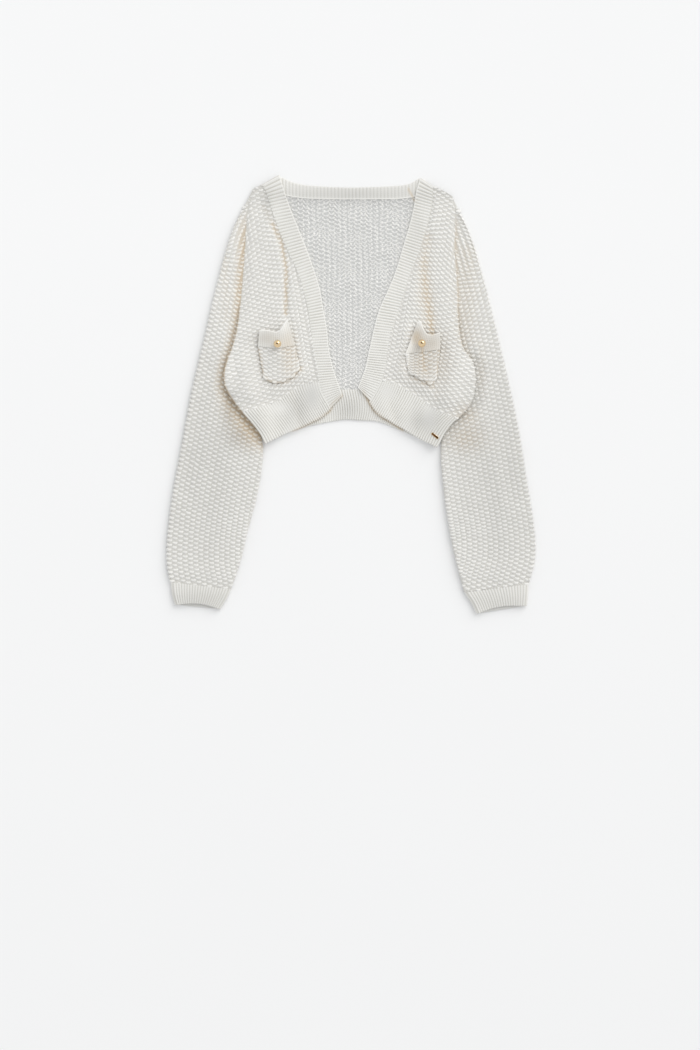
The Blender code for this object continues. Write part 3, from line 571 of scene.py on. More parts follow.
class Half:
    """One half of the garment, with its distances taken out from the centre line."""

    def __init__(self, name, sign):
        self.name = name
        self.sign = sign
        self.side = curve(SIDE["y"], SIDE[name + "_side"])
        self.tuck = curve(SIDE["y"], SIDE[name + "_tuck"])
        self.vee = curve(OPENING["y"], OPENING[name + "_vee"])
        self.seam = curve(OPENING["y"], OPENING[name + "_seam"])
        self.top = curve(FRONT["w"], FRONT[name + "_top"])
        self.hem_seam = curve(FRONT["w"], FRONT[name + "_seam"])
        self.hem_end = curve(FRONT["w"], FRONT[name + "_end"])

    def lift(self, out, y):
        """How far the body's underside is raised by the sleeve tucked beneath it."""
        onto = ramp((out - self.tuck(y) + LIFT_MARGIN + LIFT_RUN) / LIFT_RUN)
        down = ramp((LIFT_START - y) / LIFT_LENGTH)
        curl = ramp((out - self.side(y) + RIM_RUN) / RIM_RUN)
        return LIFT * onto * down + RIM_HEIGHT * curl * bell(y - RIM_LEVEL, RIM_LENGTH)

    def rounding(self, out, y):
        """How far an outer face falls towards the body's free edge."""
        return EDGE_ROUND * (1 - rounded_edge(self.side(y) - out, EDGE_RUN))

    def valleys(self, out, y, power=GROUND_GLOW_POWER):
        """The depth of the soft valleys at a point, and how warm the light in them is."""
        depth, glow = 0.0 * out, 0.0 * out
        for x0, y0, x1, y1, width, most, warmth in zip(*FOLDS[self.name].values()):
            run = np.hypot(x1 - x0, y1 - y0)
            along = ((out - x0) * (x1 - x0) + (y - y0) * (y1 - y0)) / run**2
            away = np.abs((out - x0) * (y1 - y0) - (y - y0) * (x1 - x0)) / run
            beyond = np.maximum(np.abs(along - 0.5) - 0.5, 0) * run
            share = bell(np.hypot(away, beyond), width)
            depth = np.maximum(depth, most * share)
            glow = np.maximum(glow, warmth * share**power)
        return depth, glow

    def folds(self, out, y):
        return self.valleys(out, y)[0]

    def warmth(self, out, y, power=GROUND_GLOW_POWER):
        """How much warm light the cloth throws on itself, from 0 to 1."""
        beyond = out - self.side(y)
        foot = CREASE_FOOT[self.name]
        up = ramp((y - foot) / CREASE_LENGTH)
        reach = lerp(CREASE_REACH[self.name], CREASE_REACH_TOP[self.name], up)
        crease = np.where(beyond > 0, bell(beyond, reach), bell(beyond, CREASE_INWARD))
        span = ramp((y - foot) / CREASE_FADE) * ramp((CREASE_TOP - y) / CREASE_FADE)
        crease = lerp(*CREASE_GLOW[self.name], up) * crease * span
        glow = np.maximum(self.valleys(out, y, power)[1], crease)
        return np.maximum(glow, 1 - left_by(GLOWS[self.name], out, y))

    def stitch_warmth(self, out, y):
        """The same for the stitches, which stand out of the valleys."""
        return STITCH_WARMTH * self.warmth(out, y, STITCH_GLOW_POWER)

    def lean(self, out, y):
        """How far the rows lean from their own line, in degrees, up towards the neck."""
        return added_by(LEANS[self.name], out, y)

    def zigzag(self, out, y):
        """How far neighbouring columns lean apart from that, in degrees."""
        return added_by(ZIGZAGS[self.name], out, y)

    def ribs_left(self, out, y):
        """Share of the ribs' height that is left where a trim is pulled flat."""
        return left_by(PULLED_FLAT[self.name], out, y)

    def light_left(self, out, y):
        """Share of the light that is left where the cloth lies in a soft shade."""
        return left_by(SHADES[self.name], out, y)

    def vee_light(self, out, y):
        """What the light on the back gains beside the bands' free edges."""
        return V_LIGHT[self.name] * bell(out - self.vee(y), V_LIGHT_WIDTH)

    def front_point(self, w, y):
        """Distance out of the point a share w of the way from the side to the band."""
        return lerp(self.side(y), self.seam(y), w)

    def front_floor(self, out, y):
        """The underside of the front layer."""
        w = np.clip((self.side(y) - out) / (self.side(y) - self.seam(y)), 0, 1)
        t = np.clip((self.top(w) - y) / (self.top(w) - self.hem_seam(w)), 0, 1)
        sewn = ramp(w / SIDE_FADE) * ramp((1 - w) / BAND_FADE)
        sewn = sewn * ramp(t / SHOULDER_FADE) * ramp((1 - t) / HEM_FADE)
        roll = HEM_ROLL * bell(t - HEM_ROLL_AT, HEM_ROLL_WIDTH)
        full = np.maximum(FRONT_PUFF + roll - self.folds(out, y), 0)
        return FRONT_BASE + self.lift(out, y) + full * sewn

    def front_top(self, out, y):
        return self.front_floor(out, y) + PANEL_WALL - self.rounding(out, y)

    def sleeve_height(self, out, y, station):
        """The height of the sleeve: pressed beside and under the body, full beyond it."""
        free = ramp((out - self.side(y) - PRESS_MARGIN) / PRESS_RUN)
        height = lerp(SLEEVE_PRESSED, SLEEVE_FULL - self.folds(out, y), free)
        return lerp(height, CUFF_HEIGHT, ramp((station - 1 + CUFF_FADE) / CUFF_FADE))


LEFT = Half("left", -1)
RIGHT = Half("right", 1)
HALVES = (LEFT, RIGHT)


def by_half(x, y, measure):
    """measure(half, out, y) for points on either side of the centre line."""
    return np.where(x < 0, measure(LEFT, -x, y), measure(RIGHT, x, y))


def body_warmth(x, y):
    return by_half(x, y, Half.warmth)


def body_lift(x, y):
    return LEFT.lift(-x, y) + RIGHT.lift(x, y)


def back_across(u, y):
    return lerp(-LEFT.side(y), RIGHT.side(y), u)


def anywhere(x, y):
    return np.ones(x.shape, bool)


# Meshes


def new_object(name, mesh):
    made = bpy.data.objects.new(name, mesh)
    bpy.context.scene.collection.objects.link(made)
    return made


def add_attribute(mesh, name, values, kind="FLOAT"):
    field = {"FLOAT": "value", "FLOAT_VECTOR": "vector"}[kind]
    made = mesh.attributes.new(name, kind, "POINT")
    made.data.foreach_set(field, np.asarray(values, np.float32).ravel())


class Shell:
    """Points and faces of one closed piece of cloth, gathered grid by grid."""

    def __init__(self):
        self.points = np.zeros((0, 3))
        self.weave = np.zeros((0, 2))
        self.values = {name: np.zeros(0) for name in ("phase", "raised", "warm")}
        self.light = 0.0
        self.faces = []
        self.corners = []

    def grid(self, x, y, z, phase=0.0, down=0.0, raised=0.0, warm=0.0, period=None):
        """Adds a grid of points. With a period of the phase it is closed along its rows."""
        first = len(self.points)
        self.points = np.vstack((self.points, np.stack((x, y, z), -1).reshape(-1, 3)))
        phase, down = phase + 0 * x, down + 0 * x
        for name, value in (("phase", phase), ("raised", raised), ("warm", warm)):
            value = (value + 0 * x).ravel()
            self.values[name] = np.concatenate((self.values[name], value))
        weave = np.stack((phase, down), -1)
        self.weave = np.vstack((self.weave, weave.reshape(-1, 2)))
        index = first + np.arange(x.size).reshape(x.shape)
        if period is not None:
            index = np.hstack((index, index[:, :1]))
            weave = np.hstack((weave, weave[:, :1] + (period, 0)))
        for grid, into in ((index, self.faces), (weave, self.corners)):
            quads = (grid[:-1, :-1], grid[:-1, 1:], grid[1:, 1:], grid[1:, :-1])
            stacked = np.stack(quads, 2)
            into += stacked.reshape(-1, *stacked.shape[2:]).tolist()
        return index

    def share(self, chain):
        """How far along a chain of points each one lies, from 0 to 1."""
        steps = np.linalg.norm(np.diff(self.points[chain], axis=0), axis=1)
        return np.concatenate(([0], np.cumsum(steps))) / steps.sum()

    def triangle(self, *points):
        self.faces.append([int(point) for point in points])
        self.corners.append(self.weave[list(points)].tolist())

    def close(self, upper, lower):
        """Joins two chains of points with triangles."""
        at_upper, at_lower = self.share(upper), self.share(lower)
        i = j = 0
        while i < len(upper) - 1 or j < len(lower) - 1:
            if j == len(lower) - 1 or (i < len(upper) - 1 and at_upper[i + 1] <= at_lower[j + 1]):
                self.triangle(upper[i], upper[i + 1], lower[j])
                i += 1
            else:
                self.triangle(upper[i], lower[j + 1], lower[j])
                j += 1

    def close_rims(self, upper, lower):
        """Joins the four edges of two open grids."""
        for edge in (np.s_[0], np.s_[-1], np.s_[:, 0], np.s_[:, -1]):
            self.close(upper[edge], lower[edge])

    def cap(self, ring, centre):
        """Closes a ring of points with triangles to a middle point."""
        middle = len(self.points)
        self.points = np.vstack((self.points, (centre,)))
        self.weave = np.vstack((self.weave, (self.weave[ring[0]],)))
        for name in self.values:
            self.values[name] = np.append(self.values[name], 0.0)
        for i, j in zip(ring[:-1], ring[1:]):
            self.triangle(i, j, middle)

    def build(self, name):
        """Makes the object, with its faces outwards."""
        mesh = bpy.data.meshes.new(name)
        mesh.from_pydata((self.points * MM).tolist(), [], self.faces)
        for value_name, values in self.values.items():
            add_attribute(mesh, value_name, values)
        x, y, _ = self.points.T
        add_attribute(mesh, "light", self.light + by_half(x, y, Half.light_left))
        layer = mesh.uv_layers.new(name="weave")
        flat = [number for face in self.corners for corner in face for number in corner]
        layer.uv.foreach_set("vector", flat)
        made = bmesh.new()
        made.from_mesh(mesh)
        bmesh.ops.recalc_face_normals(made, faces=made.faces)
        if made.calc_volume(signed=True) < 0:
            bmesh.ops.reverse_faces(made, faces=made.faces)
        made.to_mesh(mesh)
        made.free()
        mesh.shade_smooth()
        mesh.set_sharp_from_angle(angle=SHARP_ANGLE)
        return new_object(name, mesh)


def spaced(length):
    return np.linspace(0, 1, int(np.ceil(length / CLOTH_STEP)) + 1)


def with_rim(length):
    """Grid lines of plain cloth, with a few more close to both ends."""
    near, lines = RIM_LINES / length, spaced(length)
    clear = near[-1] * LINE_CLEARANCE
    middle = lines[(lines > clear) & (lines < 1 - clear)]
    return np.concatenate(((0.0,), near, middle, 1 - near[::-1], (1.0,)))


def sheet(name, place, over_at, under_at):
    """A wall of cloth. place(a, b) gives x, y, underside, outer face and warmth."""
    shell = Shell()
    grids = []
    for outer, (a, b) in ((True, over_at), (False, under_at)):
        a, b = np.meshgrid(a, b)
        x, y, under, over, warm = place(a, b)
        grids.append(shell.grid(x, y, over if outer else under, a, b, warm=warm))
    shell.close_rims(*grids)
    return shell.build(name)


def trim_rows(length, free_edge):
    """Grid lines across a trim, close together at its rounded free edge (at 0)."""
    rows = np.linspace(0, 1, int(length / TRIM_STEP) + 1)
    near = EDGE_LINES * RIB_EDGE_RADIUS / length
    rows = np.concatenate(((0.0,), near, rows[rows > near[-1] * EDGE_CLEARANCE]))
    return rows if free_edge == "first" else 1 - rows[::-1]


def ribbed(name, place, ribs, length, free_edge="last", under_rise=0.0, rise=RIB_HEIGHT, bead=None):
    """A trim with ribs across it, without its ribs' height yet.

    place(a, b) gives x, y, underside and warmth, a along the trim and b along its ribs.
    under_rise is the height of the ribs on its underside. A smooth bead runs along one edge:
    bead gives its b and what its light gains.
    """
    rows = trim_rows(length, free_edge)
    bead_at, bead_light = bead or (None, 0.0)
    if bead_at is not None:
        near = BEAD_LINES * BEAD_WIDTH / length
        rows = np.unique(np.concatenate((rows, near if bead_at == 0 else 1 - near)))
    along = np.linspace(0, 1, RIB_SAMPLES * ribs + 1)
    shell = Shell()
    grids, lights = [], []
    sides = ((1, rise, along), (-1, under_rise, along if under_rise else along[::RIB_SAMPLES]))
    for side, height, columns in sides:
        a, b = np.meshgrid(columns, rows)
        x, y, under, warm = place(a, b)
        from_edge = (b if free_edge == "first" else 1 - b) * length
        left = rounded_edge(from_edge, RIB_EDGE_RADIUS)
        middle = under + (RIB_WALL + under_rise) / 2
        z = middle + side * (RIB_WALL - under_rise) / 2 * left
        down = b * length / V_STITCH_PITCH
        short, long = RIB_WAVES
        waves = np.sin(a * ribs / short + 2 * b) * np.sin(3 * b + a * ribs / long)
        raised = height / RIB_HEIGHT * (1 + RIB_UNEVENNESS * waves) * by_half(x, y, Half.ribs_left)
        swell = 0 * b if bead_at is None else bell((b - bead_at) * length, BEAD_WIDTH)
        z = z + max(side, 0) * BEAD_HEIGHT * swell * left
        grids.append(shell.grid(x, y, z, a * ribs, down, raised * (1 - swell), warm))
        lights.append((bead_light * swell).ravel())
    shell.light = np.concatenate(lights)
    shell.close_rims(*grids)
    return shell.build(name)


# Stitches in bricks


class Ground:
    """The faces of a shell, found along rays, for laying stitches on them."""

    def __init__(self, shell):
        mesh = shell.data
        points = [v.co for v in mesh.vertices]
        self.tree = BVHTree.FromPolygons(points, [p.vertices[:] for p in mesh.polygons])

    def along(self, start, direction):
        """(place, outward) where a ray in millimetres meets the cloth, or None."""
        place, outward, _, _ = self.tree.ray_cast(Vector(start) * MM, Vector(direction))
        return None if place is None else (place, outward)

    def above(self, x, y):
        return self.along((x, y, RAY_START), (0, 0, -1))

    def below(self, x, y):
        return self.along((x, y, -RAY_START), (0, 0, 1))


def brick_cells(row, rows, pitch, column=lambda x, y: x):
    """Stitches in columns, each half a row off the last: x, y, row angle and width.

    row(t) gives a row's x and y, column(x, y) the place across the columns. A width of 1 is
    the pitch.
    """
    found = []
    for step in range(2 * rows):
        x, y = row((step + 0.5) / (2 * rows))
        across = column(x, y)
        order = np.argsort(across)
        x, y, across = x[order], y[order], across[order]
        columns = np.arange(np.floor(across[0] / pitch), np.ceil(across[-1] / pitch))
        at = (columns[(columns + step) % 2 == 0] + 0.5) * pitch
        beyond = at - np.clip(at, across[0], across[-1])
        before, after = (np.clip(at + side * pitch, across[0], across[-1]) for side in (-1, 1))
        go = np.interp(after, across, x) - np.interp(before, across, x)
        rise = np.interp(after, across, y) - np.interp(before, across, y)
        angle, width = np.arctan2(rise, go), np.hypot(go, rise) / (after - before)
        found.append((np.interp(at, across, x) + beyond, np.interp(at, across, y), angle, width))
    return np.hstack(found)


class Stitches:
    """Places for stitches on a piece, gathered set by set."""

    def __init__(self, seed):
        self.random = np.random.default_rng(seed)
        self.vectors = {"outward": [], "up": [], "fit": []}
        self.places = []

    def add(self, place, outward, up, wide, tall=1.0):
        self.places.append(tuple(place))
        for name, vector in (("outward", outward), ("up", up), ("fit", (wide, tall, 1.0))):
            self.vectors[name].append(tuple(vector))

    def lay(self, cells, pitch, allowed, meet):
        """Puts a stitch on each cell that has cloth under it, smaller where part is off."""
        x, y, angle, width = cells
        step_x, step_y = np.cos(angle) * pitch * width, np.sin(angle) * pitch * width
        at_x = x + CELL_SHARES[:, None] * step_x
        at_y = y + CELL_SHARES[:, None] * step_y
        free = allowed(at_x, at_y)
        for i in np.flatnonzero(free.any(0)):
            hits = [meet(at_x[j, i], at_y[j, i]) for j in np.flatnonzero(free[:, i])]
            hits = [hit for hit in hits if hit is not None]
            if len(hits) < 2:
                continue
            place, outward = hits[len(hits) // 2]
            up = (-np.sin(angle[i]), np.cos(angle[i]), 0.0)
            share = len(hits) / len(CELL_SHARES)
            tall = LEAST_TALL + (1 - LEAST_TALL) * share
            self.add(place, outward, up, share * width[i], tall)

    def build(self, name, tree, values):
        """Makes the stitches as one mesh by the node tree."""
        mesh = bpy.data.meshes.new(name)
        mesh.from_pydata(self.places, [], [])
        for vector_name, vectors in self.vectors.items():
            add_attribute(mesh, vector_name, vectors, "FLOAT_VECTOR")
        add_attribute(mesh, "tone", self.random.normal(0.0, 1.0, len(self.places)))
        return grown(new_object(name, mesh), tree, values)


# Node trees


def feed(tree, node, inputs):
    """Gives a node its inputs, from values or other nodes' outputs."""
    for key, value in inputs.items():
        if isinstance(value, bpy.types.NodeSocket):
            tree.links.new(value, node.inputs[key])
        else:
            node.inputs[key].default_value = value


def node_of(tree, kind, inputs=None, **settings):
    """A new node with its settings and its inputs."""
    node = tree.nodes.new(kind)
    for name, value in settings.items():
        setattr(node, name, value)
    feed(tree, node, inputs or {})
    return node


def wire(tree, kind, inputs=None, **settings):
    """The first output of a new node."""
    return node_of(tree, kind, inputs, **settings).outputs[0]


def calc(tree, operation, *values):
    """A number worked out from other numbers or outputs."""
    return wire(tree, "ShaderNodeMath", dict(enumerate(values)), operation=operation)


def vector_calc(tree, operation, *values):
    return wire(tree, "ShaderNodeVectorMath", dict(enumerate(values)), operation=operation)


def scaled(tree, vector, amount):
    return wire(tree, "ShaderNodeVectorMath", {0: vector, "Scale": amount}, operation="SCALE")


def from_xyz(tree, x=0.0, y=0.0, z=0.0):
    return wire(tree, "ShaderNodeCombineXYZ", {"X": x, "Y": y, "Z": z})


def to_xyz(tree, vector):
    return node_of(tree, "ShaderNodeSeparateXYZ", {0: vector}).outputs


def named(tree, name, kind="FLOAT"):
    node = node_of(tree, "GeometryNodeInputNamedAttribute", {"Name": name}, data_type=kind)
    return node.outputs["Attribute"]


def new_group(name, tree_type, inputs, outputs):
    """A node group with named sockets, and the outputs of its input node."""
    tree = bpy.data.node_groups.new(name, tree_type)
    for socket, kind in outputs.items():
        tree.interface.new_socket(socket, in_out="OUTPUT", socket_type="NodeSocket" + kind)
    for socket, (kind, default) in inputs.items():
        made = tree.interface.new_socket(socket, in_out="INPUT", socket_type="NodeSocket" + kind)
        if default is not None:
            made.default_value = default
    return tree, tree.nodes.new("NodeGroupInput").outputs


def new_tree(name, inputs):
    """A geometry tree with a Geometry input and output, the named inputs and a material."""
    inputs = {"Geometry": ("Geometry", None), **inputs, "Material": ("Material", None)}
    return new_group(name, "GeometryNodeTree", inputs, {"Geometry": "Geometry"})


def moved(tree, geometry, **inputs):
    return wire(tree, "GeometryNodeSetPosition", {"Geometry": geometry, **inputs})


def end_tree(tree, geometry, material):
    """Realizes, smooths and paints what the tree made, as its output."""
    real = wire(tree, "GeometryNodeRealizeInstances", {0: geometry})
    smooth = wire(tree, "GeometryNodeSetShadeSmooth", {"Geometry": real})
    painted = wire(tree, "GeometryNodeSetMaterial", {"Geometry": smooth, "Material": material})
    node_of(tree, "NodeGroupOutput", {0: painted})
    return tree


def bent_yarn(tree, given):
    """A tube of yarn along X, thin at its ends, which turn up in a crescent or a V."""
    half = calc(tree, "MULTIPLY", given["Width"], 0.5)
    ends = {"Start": from_xyz(tree, calc(tree, "MULTIPLY", half, -1.0)), "End": from_xyz(tree, half)}
    line = wire(tree, "GeometryNodeCurvePrimitiveLine", ends)
    points = {"Curve": line, "Count": given["Stations"]}
    points = wire(tree, "GeometryNodeResampleCurve", points)
    factor = node_of(tree, "GeometryNodeSplineParameter").outputs["Factor"]
    signed = calc(tree, "MULTIPLY_ADD", factor, 2.0, -1.0)
    outer = calc(tree, "MULTIPLY", signed, signed)
    bow = calc(tree, "POWER", calc(tree, "ABSOLUTE", signed), given["Bow"])
    centred = calc(tree, "SUBTRACT", bow, given["Centring"])
    turned = calc(tree, "MULTIPLY", centred, given["Bend"])
    bent = moved(tree, points, Offset=from_xyz(tree, 0.0, turned, 0.0))
    thin = calc(tree, "SUBTRACT", 1.0, calc(tree, "MULTIPLY", outer, given["Taper"]))
    thickness = calc(tree, "SQRT", calc(tree, "MAXIMUM", thin, given["Thinnest"]))
    radius = calc(tree, "MULTIPLY", given["Height"], 0.5)
    ring = {"Resolution": given["Sides"], "Radius": radius}
    ring = wire(tree, "GeometryNodeCurvePrimitiveCircle", ring)
    swept = {"Curve": bent, "Profile Curve": ring, "Scale": thickness, "Fill Caps": True}
    return wire(tree, "GeometryNodeCurveToMesh", swept), half, radius


def stitch_tree():
    """Lays one crescent of yarn at each point of a mesh, its ends turned up."""
    sockets = {
        "Width": ("Float", 0.0092),
        "Height": ("Float", 0.0046),
        "Rise": ("Float", 0.0012),
        "Bend": ("Float", 0.0016),
        "Bow": ("Float", 2.0),
        "Centring": ("Float", 0.4),
        "Sink": ("Float", 0.0010),
        "Taper": ("Float", 0.8),
        "Thinnest": ("Float", 0.02),
        "Buried": ("Float", 0.35),
        "Stations": ("Int", 7),
        "Sides": ("Int", 6),
        "Unevenness": ("Float", 0.09),
        "Seed": ("Int", 1),
    }
    tree, given = new_tree("lay_stitches", sockets)
    yarn, half, radius = bent_yarn(tree, given)
    place = wire(tree, "GeometryNodeInputPosition")
    x, y, z = to_xyz(tree, place)
    across = calc(tree, "DIVIDE", x, half)
    sunk = calc(tree, "MULTIPLY", calc(tree, "MULTIPLY", across, across), given["Sink"])
    buried = calc(tree, "MULTIPLY", calc(tree, "MINIMUM", z, 0.0), given["Buried"])
    squash = calc(tree, "DIVIDE", given["Rise"], radius)
    shown = calc(tree, "ADD", calc(tree, "MAXIMUM", z, 0.0), buried)
    level = calc(tree, "SUBTRACT", calc(tree, "MULTIPLY", shown, squash), sunk)
    pressed = moved(tree, yarn, Position=from_xyz(tree, x, y, level))
    own = vector_calc(tree, "DIVIDE", place, from_xyz(tree, half, radius, radius))
    own = {"Geometry": pressed, "Name": "yarn", "Value": own}
    kinds = {"data_type": "FLOAT_VECTOR", "domain": "POINT"}
    twist = wire(tree, "GeometryNodeStoreNamedAttribute", own, **kinds)
    axes = (named(tree, name, "FLOAT_VECTOR") for name in ("outward", "up"))
    axes = dict(zip(("Primary Axis", "Secondary Axis"), axes))
    kinds = {"primary_axis": "Z", "secondary_axis": "Y"}
    turn = wire(tree, "FunctionNodeAxesToRotation", axes, **kinds)
    one = (1.0, 1.0, 1.0)
    least = scaled(tree, one, calc(tree, "MULTIPLY", given["Unevenness"], -1.0))
    limits = {"Min": least, "Max": scaled(tree, one, given["Unevenness"]), "Seed": given["Seed"]}
    shake = wire(tree, "FunctionNodeRandomValue", limits, data_type="FLOAT_VECTOR")
    turns = {"Rotation": turn, "Rotate By": wire(tree, "FunctionNodeEulerToRotation", {0: shake})}
    shaken = wire(tree, "FunctionNodeRotateRotation", turns, rotation_space="LOCAL")
    size = vector_calc(tree, "ADD", one, shake)
    size = vector_calc(tree, "MULTIPLY", named(tree, "fit", "FLOAT_VECTOR"), size)
    laid = {"Points": given["Geometry"], "Instance": twist, "Rotation": shaken, "Scale": size}
    laid = wire(tree, "GeometryNodeInstanceOnPoints", laid)
    return end_tree(tree, laid, given["Material"])


def rib_tree():
    """Raises rounded ribs out of a trim, where its points say raised, by their phase."""
    sockets = {"Rise": ("Float", RIB_HEIGHT * MM), "Roundness": ("Float", 0.7)}
    tree, given = new_tree("raise_ribs", sockets)
    angle = calc(tree, "MULTIPLY", named(tree, "phase"), float(np.pi))
    wave = calc(tree, "ABSOLUTE", calc(tree, "SINE", angle))
    crest = calc(tree, "POWER", wave, given["Roundness"])
    height = calc(tree, "MULTIPLY", crest, named(tree, "raised"))
    height = calc(tree, "MULTIPLY", height, given["Rise"])
    rise = scaled(tree, wire(tree, "GeometryNodeInputNormal"), height)
    return end_tree(tree, moved(tree, given["Geometry"], Offset=rise), given["Material"])


def grown(piece, tree, values):
    """The piece as the node tree makes it from these named values, as a plain mesh."""
    modifier = piece.modifiers.new(tree.name, "NODES")
    modifier.node_group = tree
    for item in tree.interface.items_tree:
        if item.item_type == "SOCKET" and item.in_out == "INPUT" and item.name in values:
            modifier[item.identifier] = values[item.name]
    graph = bpy.context.evaluated_depsgraph_get()
    made = bpy.data.meshes.new_from_object(
        piece.evaluated_get(graph), preserve_all_data_layers=True, depsgraph=graph
    )
    piece.modifiers.remove(modifier)
    made.name = piece.name
    piece.data = made
    return piece


# Pieces


def places_of(piece):
    """The places of a piece's points, one row a point, in millimetres."""
    places = np.empty(len(piece.data.vertices) * 3, np.float32)
    piece.data.vertices.foreach_get("co", places)
    return places.reshape(-1, 3) / MM


def hold(piece, material, nodes=()):
    """Presses a piece flat on the ground, paints it, hangs it on the root and hides the solids that it
    stands for.
    """
    if not piece.data.materials:
        piece.data.materials.append(material)
    places = places_of(piece)
    places[:, 2] = np.maximum(places[:, 2], 0.0)
    piece.data.vertices.foreach_set("co", (places * MM).ravel())
    piece.data.update()
    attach(piece, "root")
    if nodes:
        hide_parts(*nodes)
    return piece


def stitched(knit, name, stitches, inner=False, size=(1.0, 1.0)):
    """The stitches as one piece, in the size of the outer or the inner face."""
    values = {
        "Width": knit.inner_width if inner else knit.width * size[0],
        "Height": knit.inner_height if inner else knit.height * size[1],
        "Rise": (INNER_RISE if inner else OUTER_RISE) * MM,
        "Bend": knit.inner_bend if inner else knit.bend,
        "Bow": INNER_BOW if inner else OUTER_BOW,
        "Sink": INNER_SINK * MM if inner else knit.sink,
        "Taper": INNER_TAPER if inner else knit.taper,
        "Unevenness": knit.unevenness * (INNER_CALM if inner else 1.0),
        "Seed": knit.seed,
        "Material": yarn_material("knit_inside" if inner else "knit_yarn"),
    }
    tree = bpy.data.node_groups.get("lay_stitches") or stitch_tree()
    piece = stitches.build(name, tree, values)
    x, y, _ = places_of(piece).T
    add_attribute(piece.data, "warm", by_half(x, y, Half.stitch_warmth))
    add_attribute(piece.data, "light", by_half(x, y, Half.light_left))
    return hold(piece, values["Material"])


def lighten(piece, measure):
    """Adds measure(half, out, y) to the light on a piece."""
    x, y, _ = places_of(piece).T
    light = piece.data.attributes["light"].data
    values = np.empty(len(x), np.float32)
    light.foreach_get("value", values)
    light.foreach_set("value", (values + by_half(x, y, measure)).astype(np.float32))


def hold_trim(scene, piece, node):
    """Raises a trim's ribs and holds it."""
    rib = scene.cardigan_rib
    values = {"Rise": rib.rise, "Roundness": rib.roundness, "Material": yarn_material("rib_yarn")}
    piece = grown(piece, bpy.data.node_groups.get("raise_ribs") or rib_tree(), values)
    hold(piece, values["Material"], [node])


def seam_ridge(*distances):
    """How far the plain cloth rises at its seams, from the distances to them."""
    return np.max([bell(distance, SEAM_RIDGE) for distance in distances], axis=0)


def make_back(scene):
    knit = scene.cardigan_knit
    top, neck = curve(*BACK_TOP.values()), curve(*NECK_TOP.values())
    hem_lines = curves(BACK_HEM, BACK_HEM["u"])
    seam, end = hem_lines["seam"], hem_lines["end"]

    def point(u, t):
        y = lerp(top(u), seam(u), t)
        return back_across(u, y), y

    def panel(u, t):
        x, y = point(u, t)
        lift = body_lift(x, y)
        under = lift + LEFT.rounding(-x, y) + RIGHT.rounding(x, y)
        return x, y, under + OUTER_RISE, lift + PANEL_WALL - INNER_RISE, body_warmth(x, y)

    def hem(u, b):
        y = lerp(seam(u) + SEAM_LAP, end(u), b)
        x = back_across(u, y)
        return x, y, body_lift(x, y), body_warmth(x, y)

    def neck_trim(a, b):
        u = lerp(NECK_TOP["u"][0], NECK_TOP["u"][-1], a)
        x = back_across(u, top(u))
        y = lerp(neck(u), top(u) - SEAM_LAP, b)
        return x, y, 0 * x, body_warmth(x, y)

    lines = with_rim(BACK_WIDTH), spaced(BACK_LENGTH)
    cloth = sheet("back_cloth", panel, lines, lines)
    ground = Ground(cloth)
    across = np.linspace(0, 1, ROW_SAMPLES["back"])

    def row(t):
        return point(across, t)

    def inner_row(t):
        x, y = point(across, lerp(*INNER_REACH, t))
        return x, y - INNER_DROOP * x * bell(y - DROOP_LEVEL, DROOP_LENGTH)

    def swayed(x, y):
        down, aside = SWAY_RUNS
        return x + INNER_TURN * y + INNER_SWAY * np.sin(y / down + x / aside)

    def on_panel(x, y):
        return by_half(x, y, lambda half, out, y: out < half.side(y))

    def in_opening(x, y):
        return by_half(x, y, lambda half, out, y: out < half.seam(y) + UNDER_BAND)

    outer, inner = Stitches(knit.seed), Stitches(knit.seed + 1)
    pitch = mm(knit.column)
    cells = brick_cells(row, round(BACK_LENGTH / mm(knit.row)), pitch)
    outer.lay(cells, pitch, on_panel, ground.below)
    pitch = mm(knit.inner_column)
    cells = brick_cells(inner_row, round(INNER_LENGTH / mm(knit.inner_row)), pitch, swayed)
    inner.lay(cells, pitch, in_opening, ground.above)
    outside = stitched(knit, "back_outside_stitches", outer)
    inside = stitched(knit, "back_inside_stitches", inner, inner=True)
    for piece in (inside, cloth):
        lighten(piece, Half.vee_light)
    ground_yarn = yarn_material("back_ground")
    hold(cloth, ground_yarn, ["back_panel"])
    name, rise = "back_hem_ribs", BACK_HEM_RIB
    trim = ribbed(name, hem, BACK_HEM_RIBS, HEM_LENGTH, under_rise=UNDER_RIB, rise=rise)
    hold_trim(scene, trim, "hem_back")
    name, rise, bead = "neck_ribs", NECK_RIB, (1, BEAD_LIGHT["neck"])
    trim = ribbed(name, neck_trim, NECK_RIBS, NECK_LENGTH, "first", UNDER_RIB, rise, bead)
    hold_trim(scene, trim, "neck_band")


